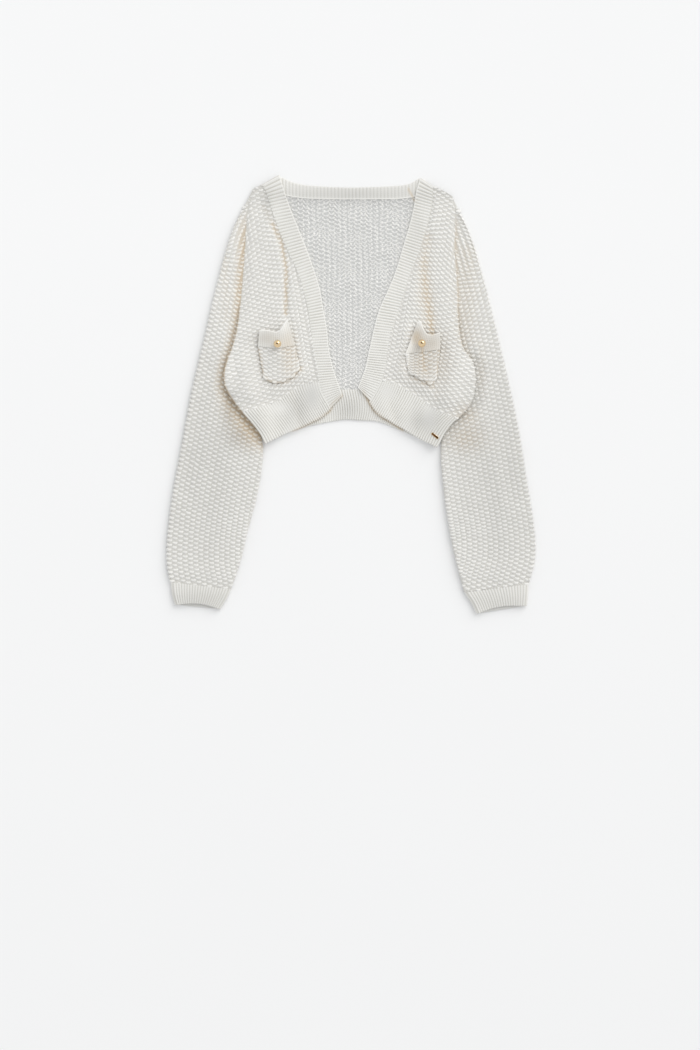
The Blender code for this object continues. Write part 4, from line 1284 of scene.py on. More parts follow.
def make_front(scene, half):
    knit, name = scene.cardigan_knit, half.name

    def point(w, t):
        y = lerp(half.top(w), half.hem_seam(w), t)
        return half.front_point(w, y), y

    def panel(w, t):
        out, y = point(w, t)
        width, length = RIDGE_SPAN
        ridge = seam_ridge((1 - w) * width, (1 - t) * length, t * length)
        over = half.front_top(out, y) - OUTER_RISE * (1 - ridge)
        return half.sign * out, y, half.front_floor(out, y), over, half.warmth(out, y)

    def trim_place(out, y, stand=0.0):
        warm = TRIM_GLOW * half.warmth(out, y)
        return half.sign * out, y, FRONT_BASE + half.lift(out, y) + stand, warm

    def hem(a, b):
        w = crowded(a, HEM_CROWDING)
        y = lerp(half.hem_seam(w) + SEAM_LAP, half.hem_end(w), b)
        out = half.front_point(w, y)
        full = np.maximum(HEM_PUFF - half.folds(out, y), 0)
        return trim_place(out, y, full * ramp(b) * np.sin(np.pi * w))

    rise = curve(BAND_RISE["a"], BAND_RISE[name])

    def band(a, b):
        a = crowded(a, BAND_CROWDING)
        seam_y = lerp(*BAND_SEAM[name], a)
        vee_y = seam_y + rise(a)
        out = lerp(half.seam(seam_y) + SEAM_LAP, half.vee(vee_y), b)
        return trim_place(out, lerp(seam_y, vee_y, b))

    columns, rows = with_rim(FRONT_WIDTH), spaced(FRONT_LENGTH)
    cloth = sheet(f"front_{name}_cloth", panel, (columns, rows), (columns[::2], rows[::2]))
    share = np.linspace(0, 1, ROW_SAMPLES["front"])

    def row(t):
        level = lerp(half.top(1.0), half.hem_seam(1.0), t)
        fall = half.hem_seam(share) - half.hem_seam(1.0)
        y = level + fall * t**ROW_FALL
        return half.sign * half.front_point(share, y), y

    def column(x, y):
        """The columns run down towards the centre line and lie wider at the side's bulge."""
        out = half.sign * x
        bulge = bell(y - STRETCH_LEVEL, STRETCH_LENGTH)
        wide = SIDE_STRETCH * np.maximum(out - STRETCH_START, 0) * bulge
        turn = COLUMN_TURN[name] * np.maximum(COLUMN_TURN_START - y, 0) ** 2
        drift = COLUMN_DRIFT * y - turn
        return half.sign * (out - wide - drift)

    def on_panel(x, y):
        out = half.sign * x
        return (out > half.seam(y) + SEAM_KEEP) & (out < half.side(y))

    stitches = Stitches(knit.seed + 2)
    pitch = mm(knit.front_column)
    cells = brick_cells(row, round(FRONT_ROWS_LENGTH / mm(knit.row)), pitch, column)
    x, y = cells[:2]
    odd = 2 * (np.floor(column(x, y) / pitch) % 2) - 1
    lean = half.lean(half.sign * x, y) + odd * half.zigzag(half.sign * x, y)
    cells[2] -= half.sign * np.radians(lean)
    stitches.lay(cells, pitch, on_panel, Ground(cloth).above)
    made = stitched(knit, f"front_{name}_stitches", stitches, size=FRONT_SIZE)
    front = f"front_{name}"
    hold(cloth, yarn_material("knit_ground"), [front])
    trim = ribbed(f"hem_{name}_ribs", hem, HEM_RIBS[name], HEM_LENGTH)
    hold_trim(scene, trim, f"hem_{name}")
    bead = (1, BEAD_LIGHT[name])
    trim = ribbed(f"band_{name}_ribs", band, BAND_RIBS, BAND_LENGTH, rise=BAND_RIB, bead=bead)
    hold_trim(scene, trim, f"band_{name}")


def pocket_lines(half):
    return curves(POCKET[half.name], POCKET[half.name]["a"])


def above_front(half, x, y, stand):
    return half.front_top(half.sign * x, y) + POCKET_GAP + stand


def pocket_welt(half):
    """The welt's place(a, b), from its free edge (b = 0) to its seam."""
    lines = pocket_lines(half)

    def welt(a, b):
        x = lerp(lines["edge_x"](a), lines["seam_x"](a), b)
        y = lerp(lines["edge_y"](a), lines["seam_y"](a), b)
        gape = POCKET_GAPE * np.sin(np.pi * a)
        under = above_front(half, x, y, gape + lines["curl"](a) * (1 - b) ** CURL_POWER)
        return x, y, under, body_warmth(x, y)

    return welt


def make_pocket(scene, half):
    knit, name = scene.cardigan_knit, f"pocket_{half.name}"
    lines = pocket_lines(half)

    def point(a, b):
        x = lerp(lines["seam_x"](a), lines["foot_x"](a), b)
        return x, lerp(lines["seam_y"](a), lines["foot_y"](a), b) - SEAM_GAP * (1 - b)

    def bag(a, b):
        x, y = point(a, b)
        gape = POCKET_GAPE * np.sin(np.pi * a) * (1 - b) ** GAPE_POWER
        under = above_front(half, x, y, gape)
        from_rim = np.minimum(np.minimum(a, 1 - a) * POCKET_WIDTH, (1 - b) * POCKET_LENGTH)
        thick = lerp(POCKET_RIM_WALL, 1, rounded_edge(from_rim, POCKET_RIM))
        over = under + (PANEL_WALL - OUTER_RISE) * thick
        sewn = 1 - lines["curl"](a) / UNSEWN_CURL
        warm = POCKET_GLOW * bell(from_rim, POCKET_RIM) * sewn
        return x, y, under, over, np.maximum(warm, body_warmth(x, y))

    across, down = with_rim(POCKET_WIDTH), with_rim(POCKET_LENGTH)
    cloth = sheet(f"{name}_cloth", bag, (across, down), (across[::2], down[::2]))
    stitches = Stitches(knit.seed + 3)
    share = np.linspace(0, 1, ROW_SAMPLES["pocket"])
    pitch = mm(knit.front_column)

    def row(b):
        return point(share, b)

    cells = brick_cells(row, round(POCKET_LENGTH / POCKET_ROW), pitch)
    stitches.lay(cells, pitch, anywhere, Ground(cloth).above)
    made = stitched(knit, f"{name}_stitches", stitches, size=FRONT_SIZE)
    hold(cloth, yarn_material("knit_ground"), [name])
    options = {"rise": WELT_RIB, "bead": (0, BEAD_LIGHT["welt"])}
    trim = ribbed(f"{name}_welt", pocket_welt(half), WELT_RIBS, WELT_LENGTH, "first", **options)
    hold_trim(scene, trim, f"pocket_welt_{half.name}")


def make_button(half):
    """A polished ball on a short shank, seated on the welt."""
    across, down = (np.linspace(0, 1, samples) for samples in SEAT_SAMPLES)
    x, y, under, _ = pocket_welt(half)(*np.meshgrid(across, down))
    centre_x, centre_y = BUTTON[half.name]
    near = np.hypot(x - centre_x, y - centre_y) < SHANK_RADIUS + SEAT_MARGIN
    seat = under[near].max() + RIB_WALL + RIB_HEIGHT + SEAM_GAP
    start = np.arcsin(SHANK_RADIUS / BUTTON_RADIUS)
    turn = np.linspace(start, np.pi, BUTTON_RINGS + 1)[:-1]
    collar_radius, collar_height = COLLAR
    radius = np.concatenate((SHANK_RADIUS * collar_radius, BUTTON_RADIUS * np.sin(turn)))
    ball = seat + SHANK_HEIGHT + BUTTON_RADIUS * (np.cos(start) - np.cos(turn))
    height = np.concatenate((seat + collar_height * SHANK_HEIGHT, ball))
    angle = np.arange(BUTTON_SIDES) * 2 * np.pi / BUTTON_SIDES
    shell = Shell()
    x = centre_x + radius[:, None] * np.cos(angle)
    y = centre_y + radius[:, None] * np.sin(angle)
    rings = shell.grid(x, y, height[:, None] + 0 * x, period=0.0)
    top = seat + SHANK_HEIGHT + BUTTON_RADIUS * (np.cos(start) + 1)
    for ring, level in ((rings[0], seat), (rings[-1], top)):
        shell.cap(ring, (centre_x, centre_y, level))
    name = f"button_{half.name}"
    hold(shell.build(f"{name}_ball"), gold_metal(), [name])


def make_bar():
    """The bar lies along the hem's edge, on the crests of the ribs."""
    turn = np.radians(BAR_ANGLE)
    along = np.array((np.cos(turn), np.sin(turn)))
    across = np.array((-np.sin(turn), np.cos(turn)))
    corner = np.linspace(0, 90, BAR_CORNER_POINTS)
    angle = np.radians(np.concatenate([quarter + corner for quarter in (0, 90, 180, 270)]))
    way = np.repeat(((1, 1), (-1, 1), (-1, -1), (1, -1)), BAR_CORNER_POINTS, axis=0)
    round_off = BAR_CORNER * np.stack((np.cos(angle), np.sin(angle)), -1)
    rows = []
    for inset, level in BAR_PROFILE:
        reach = way * (np.array((BAR_LENGTH, BAR_WIDTH)) / 2 - inset - BAR_CORNER) + round_off
        x, y = (np.array(BAR_CENTRE) + reach[:, :1] * along + reach[:, 1:] * across).T
        seat = FRONT_BASE + RIGHT.lift(x, y) + RIB_WALL + RIB_HEIGHT + BAR_GAP
        rows.append((x, y, seat + level * BAR_THICKNESS))
    shell = Shell()
    rings = shell.grid(*np.array(rows).transpose(1, 0, 2), period=0.0)
    for ring in (rings[0], rings[-1]):
        shell.cap(ring, shell.points[ring[:-1]].mean(0))
    hold(shell.build("hem_bar_metal"), gold_metal(), ["hem_bar"])


class Rings:
    """The lines that a flattened tube's rings are built on, from inner to outer side."""

    def __init__(self, half, rows, stations, follows_armhole=False):
        self.ends = curves(rows, np.linspace(0, 1, len(rows["outer"])))
        self.half = half
        self.stations = stations
        self.follows_armhole = follows_armhole

    def straight(self, station, f):
        """Distance out and level y, a share f of the way across the ring's line."""
        out = lerp(self.ends["inner"](station), self.ends["outer"](station), f)
        return out, lerp(self.ends["inner_y"](station), self.ends["outer_y"](station), f)

    def point(self, station, f):
        """The same point, bowed to the armhole near it."""
        out, y = self.straight(station, f)
        if self.follows_armhole:
            first_out, first_y = self.straight(0.0, f)
            bow = self.half.side(first_y) - ARMHOLE_LAP - first_out
            out = out + bow * (1 - ramp(station / ARMHOLE_BOW))
        return out, y

    def width(self, station):
        (out_a, y_a), (out_b, y_b) = self.point(station, 0.0), self.point(station, 1.0)
        return np.hypot(out_b - out_a, y_b - y_a)


def tube(name, rings, height, insets, columns, turns, ribs=0, arch=0.0, length=1.0):
    """A flattened tube with two open ends, its underside flat on the ground.

    height(out, y, station) is its height. Its outer and inner walls are the two insets in
    from that. columns and turns count its points across a side and round each fold. arch is
    the share of the length by which its last third is drawn back on the upper side.
    """
    shell = Shell()
    grids = []
    across = np.linspace(0, 1, columns + 1)
    bend = np.linspace(-np.pi / 2, np.pi / 2, turns + 1)[1:-1]
    level = (np.ones_like(across), np.sin(bend[::-1]), -np.ones_like(across), np.sin(bend))
    level = np.concatenate(level)
    period = 2 * ribs + 2 if ribs else 1
    phase = np.arange(len(level)) / len(level) * period
    if ribs:
        side, fold = across * ribs, np.arange(1, turns) / turns
        phase = (side, ribs + fold, ribs + 1 + side, 2 * ribs + 1 + fold)
        phase = np.concatenate(phase)
    for inset, raised in zip(insets, (CUFF_RIB if ribs else 0.0, 0.0)):
        ring_grid = []
        for station in rings.stations:
            half_in = height(*rings.point(station, 0.0), station) / 2
            half_out = height(*rings.point(station, 1.0), station) / 2
            width = rings.width(station)
            start, end = half_in / width, 1 - half_out / width
            round_in = (half_in - inset) / width * np.cos(bend)
            round_out = (half_out - inset) / width * np.cos(bend)
            over, under = lerp(start, end, across), lerp(end, start, across)
            f = np.concatenate((over, end + round_out, under, start - round_in))
            drawn = np.zeros(len(f))
            drawn[: len(over)] = arch * np.sin(np.pi * across) * ramp(3 * station - 2)
            out, y = rings.point(station - drawn, f)
            half_height = height(out, y, station) / 2
            z = half_height + level * (half_height - inset)
            warm = rings.half.warmth(out, y)
            ring_grid.append((rings.half.sign * out, y, z, warm, station + 0 * out))
        x, y, z, warm, station = np.array(ring_grid).transpose(1, 0, 2)
        down = station * length / V_STITCH_PITCH
        grids.append(shell.grid(x, y, z, phase, down, raised, warm, period=period))
    for end in (0, -1):
        shell.close(grids[0][end], grids[1][end])
    return shell.build(name)


class Fold:
    """The outer fold of a sleeve, as places along it."""

    def __init__(self, rings):
        self.out, self.y = rings.point(np.linspace(0, 1, ROW_SAMPLES["fold"]), 1.0)
        steps = np.hypot(np.diff(self.out), np.diff(self.y))
        self.run = np.concatenate(((0,), np.cumsum(steps)))
        self.length = self.run[-1]

    def at(self, v):
        """Distance out and level y, a length v along the fold."""
        return np.interp(v, self.run, self.out), np.interp(v, self.run, self.y)

    def way(self, v):
        """The same, and the fold's direction down the sleeve round there."""
        ahead = self.at(np.clip(v + SLEEVE_FOLD_WINDOW, 0, self.length))
        behind = self.at(np.clip(v - SLEEVE_FOLD_WINDOW, 0, self.length))
        go, fall = ahead[0] - behind[0], ahead[1] - behind[1]
        size = np.hypot(go, fall)
        return *self.at(v), go / size, fall / size


def sleeve_column(half, fold, k, pitch, row):
    """The cells of the k-th column in from a sleeve's outer fold, round its curve."""
    curl, arc = SLEEVE_FULL / 2, k * pitch
    bent = arc < curl * np.pi / 2
    inward = curl * (1 - np.cos(arc / curl)) if bent else curl + arc - curl * np.pi / 2
    rows = np.arange(int(fold.length / row) + ROWS_BEYOND) - ROWS_BEFORE
    v = (rows + 0.5 * (k % 2)) * row
    tilt = SLEEVE_FOLD_TILT * (1 - ramp(v / SLEEVE_TILT_LENGTH))
    at = v + tilt * inward
    out, y, go, fall = fold.way(np.clip(at, 0, fold.length))
    beyond = at - np.clip(at, 0, fold.length)
    out, y = out + go * beyond, y + fall * beyond
    out, y = out + inward * fall, y - inward * go
    angle = np.arctan2(-half.sign * (tilt * fall - go), -(fall + tilt * go))
    angle = angle - half.sign * np.radians(half.lean(out, y))
    return half.sign * out, y, angle, np.ones(len(v))


def make_sleeve(scene, half):
    knit, name = scene.cardigan_knit, f"sleeve_{half.name}"
    rings = Rings(half, SLEEVE[half.name], spaced(SLEEVE_LENGTH), follows_armhole=True)
    walls = (OUTER_RISE, PANEL_WALL)
    counts = (SLEEVE_COLUMNS, SLEEVE_TURNS)
    cloth = tube(f"{name}_cloth", rings, half.sleeve_height, walls, *counts, length=SLEEVE_LENGTH)
    ground, fold = Ground(cloth), Fold(rings)
    pitch, row = mm(knit.column), mm(knit.row)

    def free(x, y):
        return half.sign * x > half.side(y) - SLEEVE_UNDER

    over, under = Stitches(knit.seed + 4), Stitches(knit.seed + 5)
    for k in range(1, SLEEVE_MOST_COLUMNS):
        cells = sleeve_column(half, fold, k, pitch, row)
        over.lay(cells, pitch, free, ground.above)
        under.lay(cells, pitch, anywhere, ground.below)
    v = (np.arange(int(fold.length / row)) + 0.5) * row
    for out, y, go, fall in zip(*fold.way(v)):
        start = (half.sign * (out + FOLD_MARGIN), y, SLEEVE_FULL / 2)
        hit = ground.along(start, (-half.sign, 0, 0))
        if hit is not None:
            over.add(*hit, (-half.sign * go, -fall, 0.0), 1.0, FOLD_FIT)
    made = [
        stitched(knit, f"{name}_stitches", over),
        stitched(knit, f"{name}_under_stitches", under),
    ]
    hold(cloth, yarn_material("knit_ground"), [name])


def make_cuff(scene, half):
    rows, name = CUFF[half.name], f"cuff_{half.name}"
    length = np.ptp(rows["outer_y"])
    rings = Rings(half, rows, trim_rows(length, "last"))
    walls = (RIB_HEIGHT, RIB_HEIGHT + CUFF_WALL)
    arch = CUFF_MOUTH_ARCH / length

    def height(out, y, station):
        left = rounded_edge((1 - station) * length, RIB_EDGE_RADIUS)
        return CUFF_HEIGHT - CUFF_ROUND * (1 - left) + 0 * out

    counts = (CUFF_RIBS * RIB_SAMPLES, RIB_SAMPLES, CUFF_RIBS)
    trim = tube(f"{name}_ribs", rings, height, walls, *counts, arch, length)
    hold_trim(scene, trim, name)


# Materials


def new_material(name):
    """A material with its tree and its Principled shader."""
    material = bpy.data.materials.new(name)
    material.use_nodes = True
    return material, material.node_tree, material.node_tree.nodes["Principled BSDF"]


def placed(tree, group, **inputs):
    """The output of a shader group, as a node of a material with its own inputs."""
    return wire(tree, "ShaderNodeGroup", inputs, node_tree=group)


def attribute(tree, name):
    return node_of(tree, "ShaderNodeAttribute", attribute_name=name).outputs


def object_place(tree):
    return node_of(tree, "ShaderNodeTexCoord").outputs["Object"]


def object_noise(tree, scale, detail=2.0):
    inputs = {"Vector": object_place(tree), "Scale": scale, "Detail": detail}
    return node_of(tree, "ShaderNodeTexNoise", inputs).outputs["Fac"]


def mixed(tree, amount, first, second, blend="MIX"):
    inputs = {0: amount, 6: first, 7: second}
    node = node_of(tree, "ShaderNodeMix", inputs, data_type="RGBA", blend_type=blend)
    return node.outputs[2]


def mapped(tree, value, span, to=(0.0, 1.0), **settings):
    """The value, mapped from its span to another one."""
    names = ("Value", "From Min", "From Max", "To Min", "To Max")
    return wire(tree, "ShaderNodeMapRange", dict(zip(names, (value, *span, *to))), **settings)


def yarn_colour_group():
    """Yarn colour: a little lighter or darker from stitch to stitch and in patches, times the painted
    shade and light of the light attribute, and mixed towards painted warm crease light by the warm
    attribute.
    """
    inputs = {
        "Yarn": ("Color", (0.8, 0.8, 0.8, 1.0)),
        "Crease": ("Color", (0.6, 0.5, 0.4, 1.0)),
        "Unevenness": ("Float", 0.02),
        "Patches": ("Float", 0.03),
    }
    tree, given = new_group("yarn_colour", "ShaderNodeTree", inputs, {"Color": "Color"})
    tone = calc(tree, "MULTIPLY", attribute(tree, "tone")["Fac"], given["Unevenness"])
    cloud = calc(tree, "SUBTRACT", object_noise(tree, CLOUD_SCALE), 0.5)
    patch = calc(tree, "MULTIPLY_ADD", cloud, given["Patches"], tone)
    level = calc(tree, "MULTIPLY", calc(tree, "ADD", patch, 1.0), attribute(tree, "light")["Fac"])
    shade = vector_calc(tree, "MULTIPLY", given["Yarn"], from_xyz(tree, level, level, level))
    shade = vector_calc(tree, "MINIMUM", shade, LIGHTEST_YARN)
    warm = calc(tree, "MINIMUM", attribute(tree, "warm")["Fac"], 1.0)
    colour = mixed(tree, calc(tree, "MAXIMUM", warm, 0.0), shade, given["Crease"])
    node_of(tree, "NodeGroupOutput", {"Color": colour})
    return tree


def yarn_fibre_group():
    """Fine fibre fuzz of the yarn, as a height."""
    inputs = {"Pattern": ("Float", 0.0), "Fuzz": ("Float", 0.5), "Scale": ("Float", 1800.0)}
    tree, given = new_group("yarn_fibre", "ShaderNodeTree", inputs, {"Height": "Float"})
    noise = object_noise(tree, given["Scale"], FINE_DETAIL)
    fuzz = calc(tree, "MULTIPLY", noise, given["Fuzz"])
    node_of(tree, "NodeGroupOutput", {"Height": calc(tree, "ADD", fuzz, given["Pattern"])})
    return tree


def ply_twist(tree):
    """The slanting plies of the yarn in one stitch, from its own coordinates."""
    x, y, _ = to_xyz(tree, attribute(tree, "yarn")["Vector"])
    turns = calc(tree, "MULTIPLY", x, PLY_TURNS)
    return calc(tree, "COSINE", calc(tree, "MULTIPLY_ADD", y, PLY_SLANT, turns))


def weave_parts(tree):
    """A trim's own UV map: ribs along it and stitches down a rib."""
    return to_xyz(tree, wire(tree, "ShaderNodeUVMap", uv_map="weave"))


def rib_loops(tree):
    """The V of a stitch down each rib."""
    along, down, _ = weave_parts(tree)
    across = calc(tree, "MULTIPLY_ADD", calc(tree, "FRACT", along), 2.0, -1.0)
    slanted = calc(tree, "MULTIPLY_ADD", calc(tree, "ABSOLUTE", across), V_STITCH_SLANT, down)
    return calc(tree, "COSINE", calc(tree, "MULTIPLY", slanted, 2 * float(np.pi)))


def rib_valley_shade(tree):
    """1 in the valleys between the ribs, 0 on their crests: where painted shade darkens the ribs."""
    along = weave_parts(tree)[0]
    wave = calc(tree, "SINE", calc(tree, "MULTIPLY", along, float(np.pi)))
    crest = calc(tree, "ABSOLUTE", wave)
    valley = mapped(tree, crest, VALLEY_SHADE_SPAN, (1.0, 0.0), interpolation_type="SMOOTHSTEP")
    return calc(tree, "MULTIPLY", valley, attribute(tree, "raised")["Fac"])


def ground_loops(tree):
    """Small purl bumps of the ground cloth between the stitches."""
    waves = []
    for place, pitch in zip(to_xyz(tree, object_place(tree)), PURL_PITCH):
        turn = calc(tree, "MULTIPLY", place, 2 * float(np.pi) / pitch)
        waves.append(calc(tree, "COSINE", turn))
    return calc(tree, "MULTIPLY", *waves)


def yarn_material(name):
    """One of the matt yarns, made when it is first asked for."""
    if name in bpy.data.materials:
        return bpy.data.materials[name]
    knit, rib = bpy.context.scene.cardigan_knit, bpy.context.scene.cardigan_rib
    kinds = {
        "knit_yarn": (knit.yarn, knit.crease, ply_twist, PLY_BUMP),
        "knit_inside": (knit.inside, knit.crease, ply_twist, INNER_PLY_BUMP),
        # The grounds' colours are darker than the yarns: painted shade between the stitches.
        "knit_ground": (knit.ground, knit.crease_deep, ground_loops, GROUND_BUMP),
        "back_ground": (knit.shaded_inside_ground, knit.crease_deep, ground_loops, GROUND_BUMP),
        "rib_yarn": (rib.yarn, rib.crease, rib_loops, RIB_BUMP),
    }
    yarn, crease, pattern, bump = kinds[name]
    material, tree, shader = new_material(name)
    group = bpy.data.node_groups.get("yarn_colour") or yarn_colour_group()
    own = {"Yarn": yarn, "Crease": crease, "Unevenness": knit.tone_unevenness}
    colour = placed(tree, group, **own)
    if name == "rib_yarn":
        # painted shade in the valleys between the ribs
        colour = mixed(tree, rib_valley_shade(tree), colour, rib.valley, "MULTIPLY")
    group = bpy.data.node_groups.get("yarn_fibre") or yarn_fibre_group()
    height = placed(tree, group, Pattern=pattern(tree))
    bumps = {"Strength": knit.bump_strength, "Distance": bump, "Height": height}
    normal = wire(tree, "ShaderNodeBump", bumps)
    feed(tree, shader, {"Base Color": colour, "Normal": normal, **YARN_FINISH})
    return material


def gold_metal():
    """Polished gold-coloured metal with faint handling marks."""
    name = "gold_metal"
    if name in bpy.data.materials:
        return bpy.data.materials[name]
    metal = bpy.context.scene.cardigan_metal
    material, tree, shader = new_material(name)
    marks = object_noise(tree, MARKS_SCALE, FINE_DETAIL)
    worn = calc(tree, "MULTIPLY", marks, MOST_WORN)
    least = metal.roughness - MARKS_ROUGHNESS / 2
    finish = {
        "Base Color": mixed(tree, worn, metal.colour, metal.colour_worn),
        "Roughness": calc(tree, "MULTIPLY_ADD", marks, MARKS_ROUGHNESS, least),
        "Metallic": 1.0,
    }
    feed(tree, shader, finish)
    return material


def floor_material(stage):
    """A matt floor, with painted shade that makes it a little darker towards the foot of the picture,
    where the light falls off.
    """
    material, tree, shader = new_material("studio_floor")
    grain = object_noise(tree, *FLOOR_NOISE)
    down = to_xyz(tree, object_place(tree))[1]
    fall = mapped(tree, down, FLOOR_FADE, (0.0, FLOOR_FALL))
    level = calc(tree, "MULTIPLY_ADD", grain, FLOOR_GRAIN, stage.floor_level - FLOOR_GRAIN / 2)
    level = calc(tree, "SUBTRACT", level, fall)
    colour = from_xyz(tree, level, level, level)
    feed(tree, shader, {"Base Color": colour, "Roughness": 1.0, "Specular IOR Level": 0.0})
    return material


# Stage


def darken_zenith(tree, sky, stage):
    """Painted reflections of what shiny metal mirrors from above, the dark gear over the table in a
    bright room: the sky darkens in two patches for glossy rays only.
    """
    way = node_of(tree, "ShaderNodeTexCoord").outputs["Generated"]
    glossy = node_of(tree, "ShaderNodeLightPath").outputs["Is Glossy Ray"]
    colour = (*stage.sky, 1.0)
    dark = ((stage.arm_reflection_place, ARM_REFLECTION_SPAN, ARM_REFLECTION_COLOUR), (stage.gear_reflection_place, GEAR_REFLECTION_SPAN, GEAR_REFLECTION_COLOUR))
    for place, span, own in dark:
        inputs = {0: way, 1: vector_calc(tree, "NORMALIZE", place)}
        near = node_of(tree, "ShaderNodeVectorMath", inputs, operation="DOT_PRODUCT")
        share = mapped(tree, near.outputs["Value"], span)
        colour = mixed(tree, calc(tree, "MULTIPLY", share, glossy), colour, own)
    feed(tree, sky, {"Color": colour, "Strength": stage.sky_strength})


def make_stage(scene):
    """Pale floor, soft light from the upper right and a camera straight above."""
    stage = scene.cardigan_stage
    floor = bpy.data.meshes.new("studio_floor")
    half = FLOOR_REACH / 2
    level = -FLOOR_DROP * MM
    corners = [(-half, -half, level), (half, -half, level), (half, half, level)]
    floor.from_pydata([*corners, (-half, half, level)], [], [(0, 1, 2, 3)])
    floor.materials.append(floor_material(stage))
    new_object("studio_floor", floor)
    world = bpy.data.worlds.new("studio_world")
    world.use_nodes = True
    darken_zenith(world.node_tree, world.node_tree.nodes["Background"], stage)
    scene.world = world
    light = bpy.data.lights.new("studio_window", "SUN")
    light.angle = stage.light_softness
    light.energy = stage.light_power
    light.color = stage.light_colour
    lamp = new_object("studio_window", light)
    lamp.location = stage.light_place
    lamp.rotation_euler = lamp.location.to_track_quat("Z", "Y").to_euler()
    camera = bpy.data.cameras.new("photo_camera")
    camera.lens = stage.lens
    camera.sensor_fit = "VERTICAL"
    camera.sensor_height = SENSOR
    camera.clip_end = CAMERA_REACH
    eye = new_object("photo_camera", camera)
    height = stage.frame_height * stage.lens / SENSOR
    eye.location = Vector(stage.aim) + Vector((0.0, 0.0, height))
    scene.camera = eye
    scene.view_settings.view_transform = "Standard"


# Settings and operators


def length_property(name, description, default):
    return bpy.props.FloatProperty(
        name=name, description=description, default=default, min=0.0, unit="LENGTH", precision=5
    )


def colour_property(name, description, default):
    return bpy.props.FloatVectorProperty(
        name=name,
        description=description,
        default=(*default, 1.0),
        size=4,
        min=0.0,
        max=1.0,
        subtype="COLOR",
    )


def share_property(name, description, default, most=1.0):
    return bpy.props.FloatProperty(
        name=name, description=description, default=default, min=0.0, max=most, subtype="FACTOR"
    )


def vector_property(name, description, default, subtype):
    return bpy.props.FloatVectorProperty(
        name=name, description=description, default=default, subtype=subtype
    )


def power_property(name, description, default):
    return bpy.props.FloatProperty(name=name, description=description, default=default, min=0.0)

class KnitSettings(bpy.types.PropertyGroup):
    """Sizes and colours of the knitted panels."""

    column: length_property("Column pitch", "From one column of stitches to the next", 0.0084)
    front_column: length_property("Front column pitch", "On the fronts and the pockets", 0.0073)
    row: length_property("Row pitch", "From one stitch to the next in a column", 0.0073)
    width: length_property("Stitch width", "Of one outer stitch", 0.0087)
    height: length_property("Stitch height", "Thickness of the yarn of one outer stitch", 0.0045)
    bend: length_property("Stitch bend", "How far its ends turn up", 0.0020)
    sink: length_property("Stitch sink", "How far its ends sink into the cloth", 0.001)
    inner_column: length_property("Inner column pitch", "On the inside of the back", 0.0099)
    inner_row: length_property("Inner row pitch", "On the inside of the back", 0.0065)
    inner_width: length_property("Inner stitch width", "On the inside of the back", 0.0086)
    inner_height: length_property("Inner stitch height", "On the inside of the back", 0.0027)
    inner_bend: length_property("Inner stitch bend", "On the inside of the back", 0.0028)
    taper: share_property("Taper", "How thin a stitch gets at its ends", 0.8)
    unevenness: share_property("Unevenness", "Turn and size from stitch to stitch", 0.07)
    tone_unevenness: share_property("Tone", "Lightness from stitch to stitch", 0.02)
    bump_strength: share_property("Bump", "Strength of the yarn's surface", 0.6)
    seed: bpy.props.IntProperty(name="Seed", description="Of everything random", default=11)
    yarn: colour_property("Yarn", "Outer stitches", (0.89, 0.88, 0.85))
    # Inside is darker and greyer than the yarn: painted shade on the lower inside of the back.
    inside: colour_property("Inside", "Stitches on the inside of the back", (0.81, 0.805, 0.79))
    # Ground and inside ground are darker than the yarns: painted shade between the stitches.
    ground: colour_property("Ground", "Cloth between the stitches", (0.72, 0.705, 0.665))
    shaded_inside_ground: colour_property("Inside ground", "Cloth of the back", (0.63, 0.63, 0.615))
    # Crease and deep crease: painted warm light and shade in the creases, mixed in by the warm
    # attribute.
    crease: colour_property("Crease", "Stitches in a crease", (0.82, 0.74, 0.61))
    crease_deep: colour_property("Deep crease", "Ground in a crease", (0.60, 0.46, 0.30))


class RibSettings(bpy.types.PropertyGroup):
    """Sizes and colours of the ribbed trims."""

    rise: length_property("Rib rise", "Height of a rib", 0.0013)
    roundness: share_property("Roundness", "Low is full and round, high is sharp", 0.9, 2.0)
    # Valley: the colour of the painted shade between the ribs.
    valley: colour_property("Valley", "Tint between the ribs", (0.80, 0.79, 0.755))
    yarn: colour_property("Yarn", "Ribbed trims", (0.84, 0.83, 0.795))
    # Crease: painted warm light and shade on the ribs in the creases.
    crease: colour_property("Crease", "Ribs in a crease", (0.66, 0.55, 0.41))


class MetalSettings(bpy.types.PropertyGroup):
    """Finish of the buttons and the bar."""

    colour: colour_property("Colour", "Polished metal", (0.93, 0.73, 0.47))
    colour_worn: colour_property("Worn colour", "Where it is handled", (0.80, 0.56, 0.28))
    roughness: share_property("Roughness", "Of the metal", 0.13)


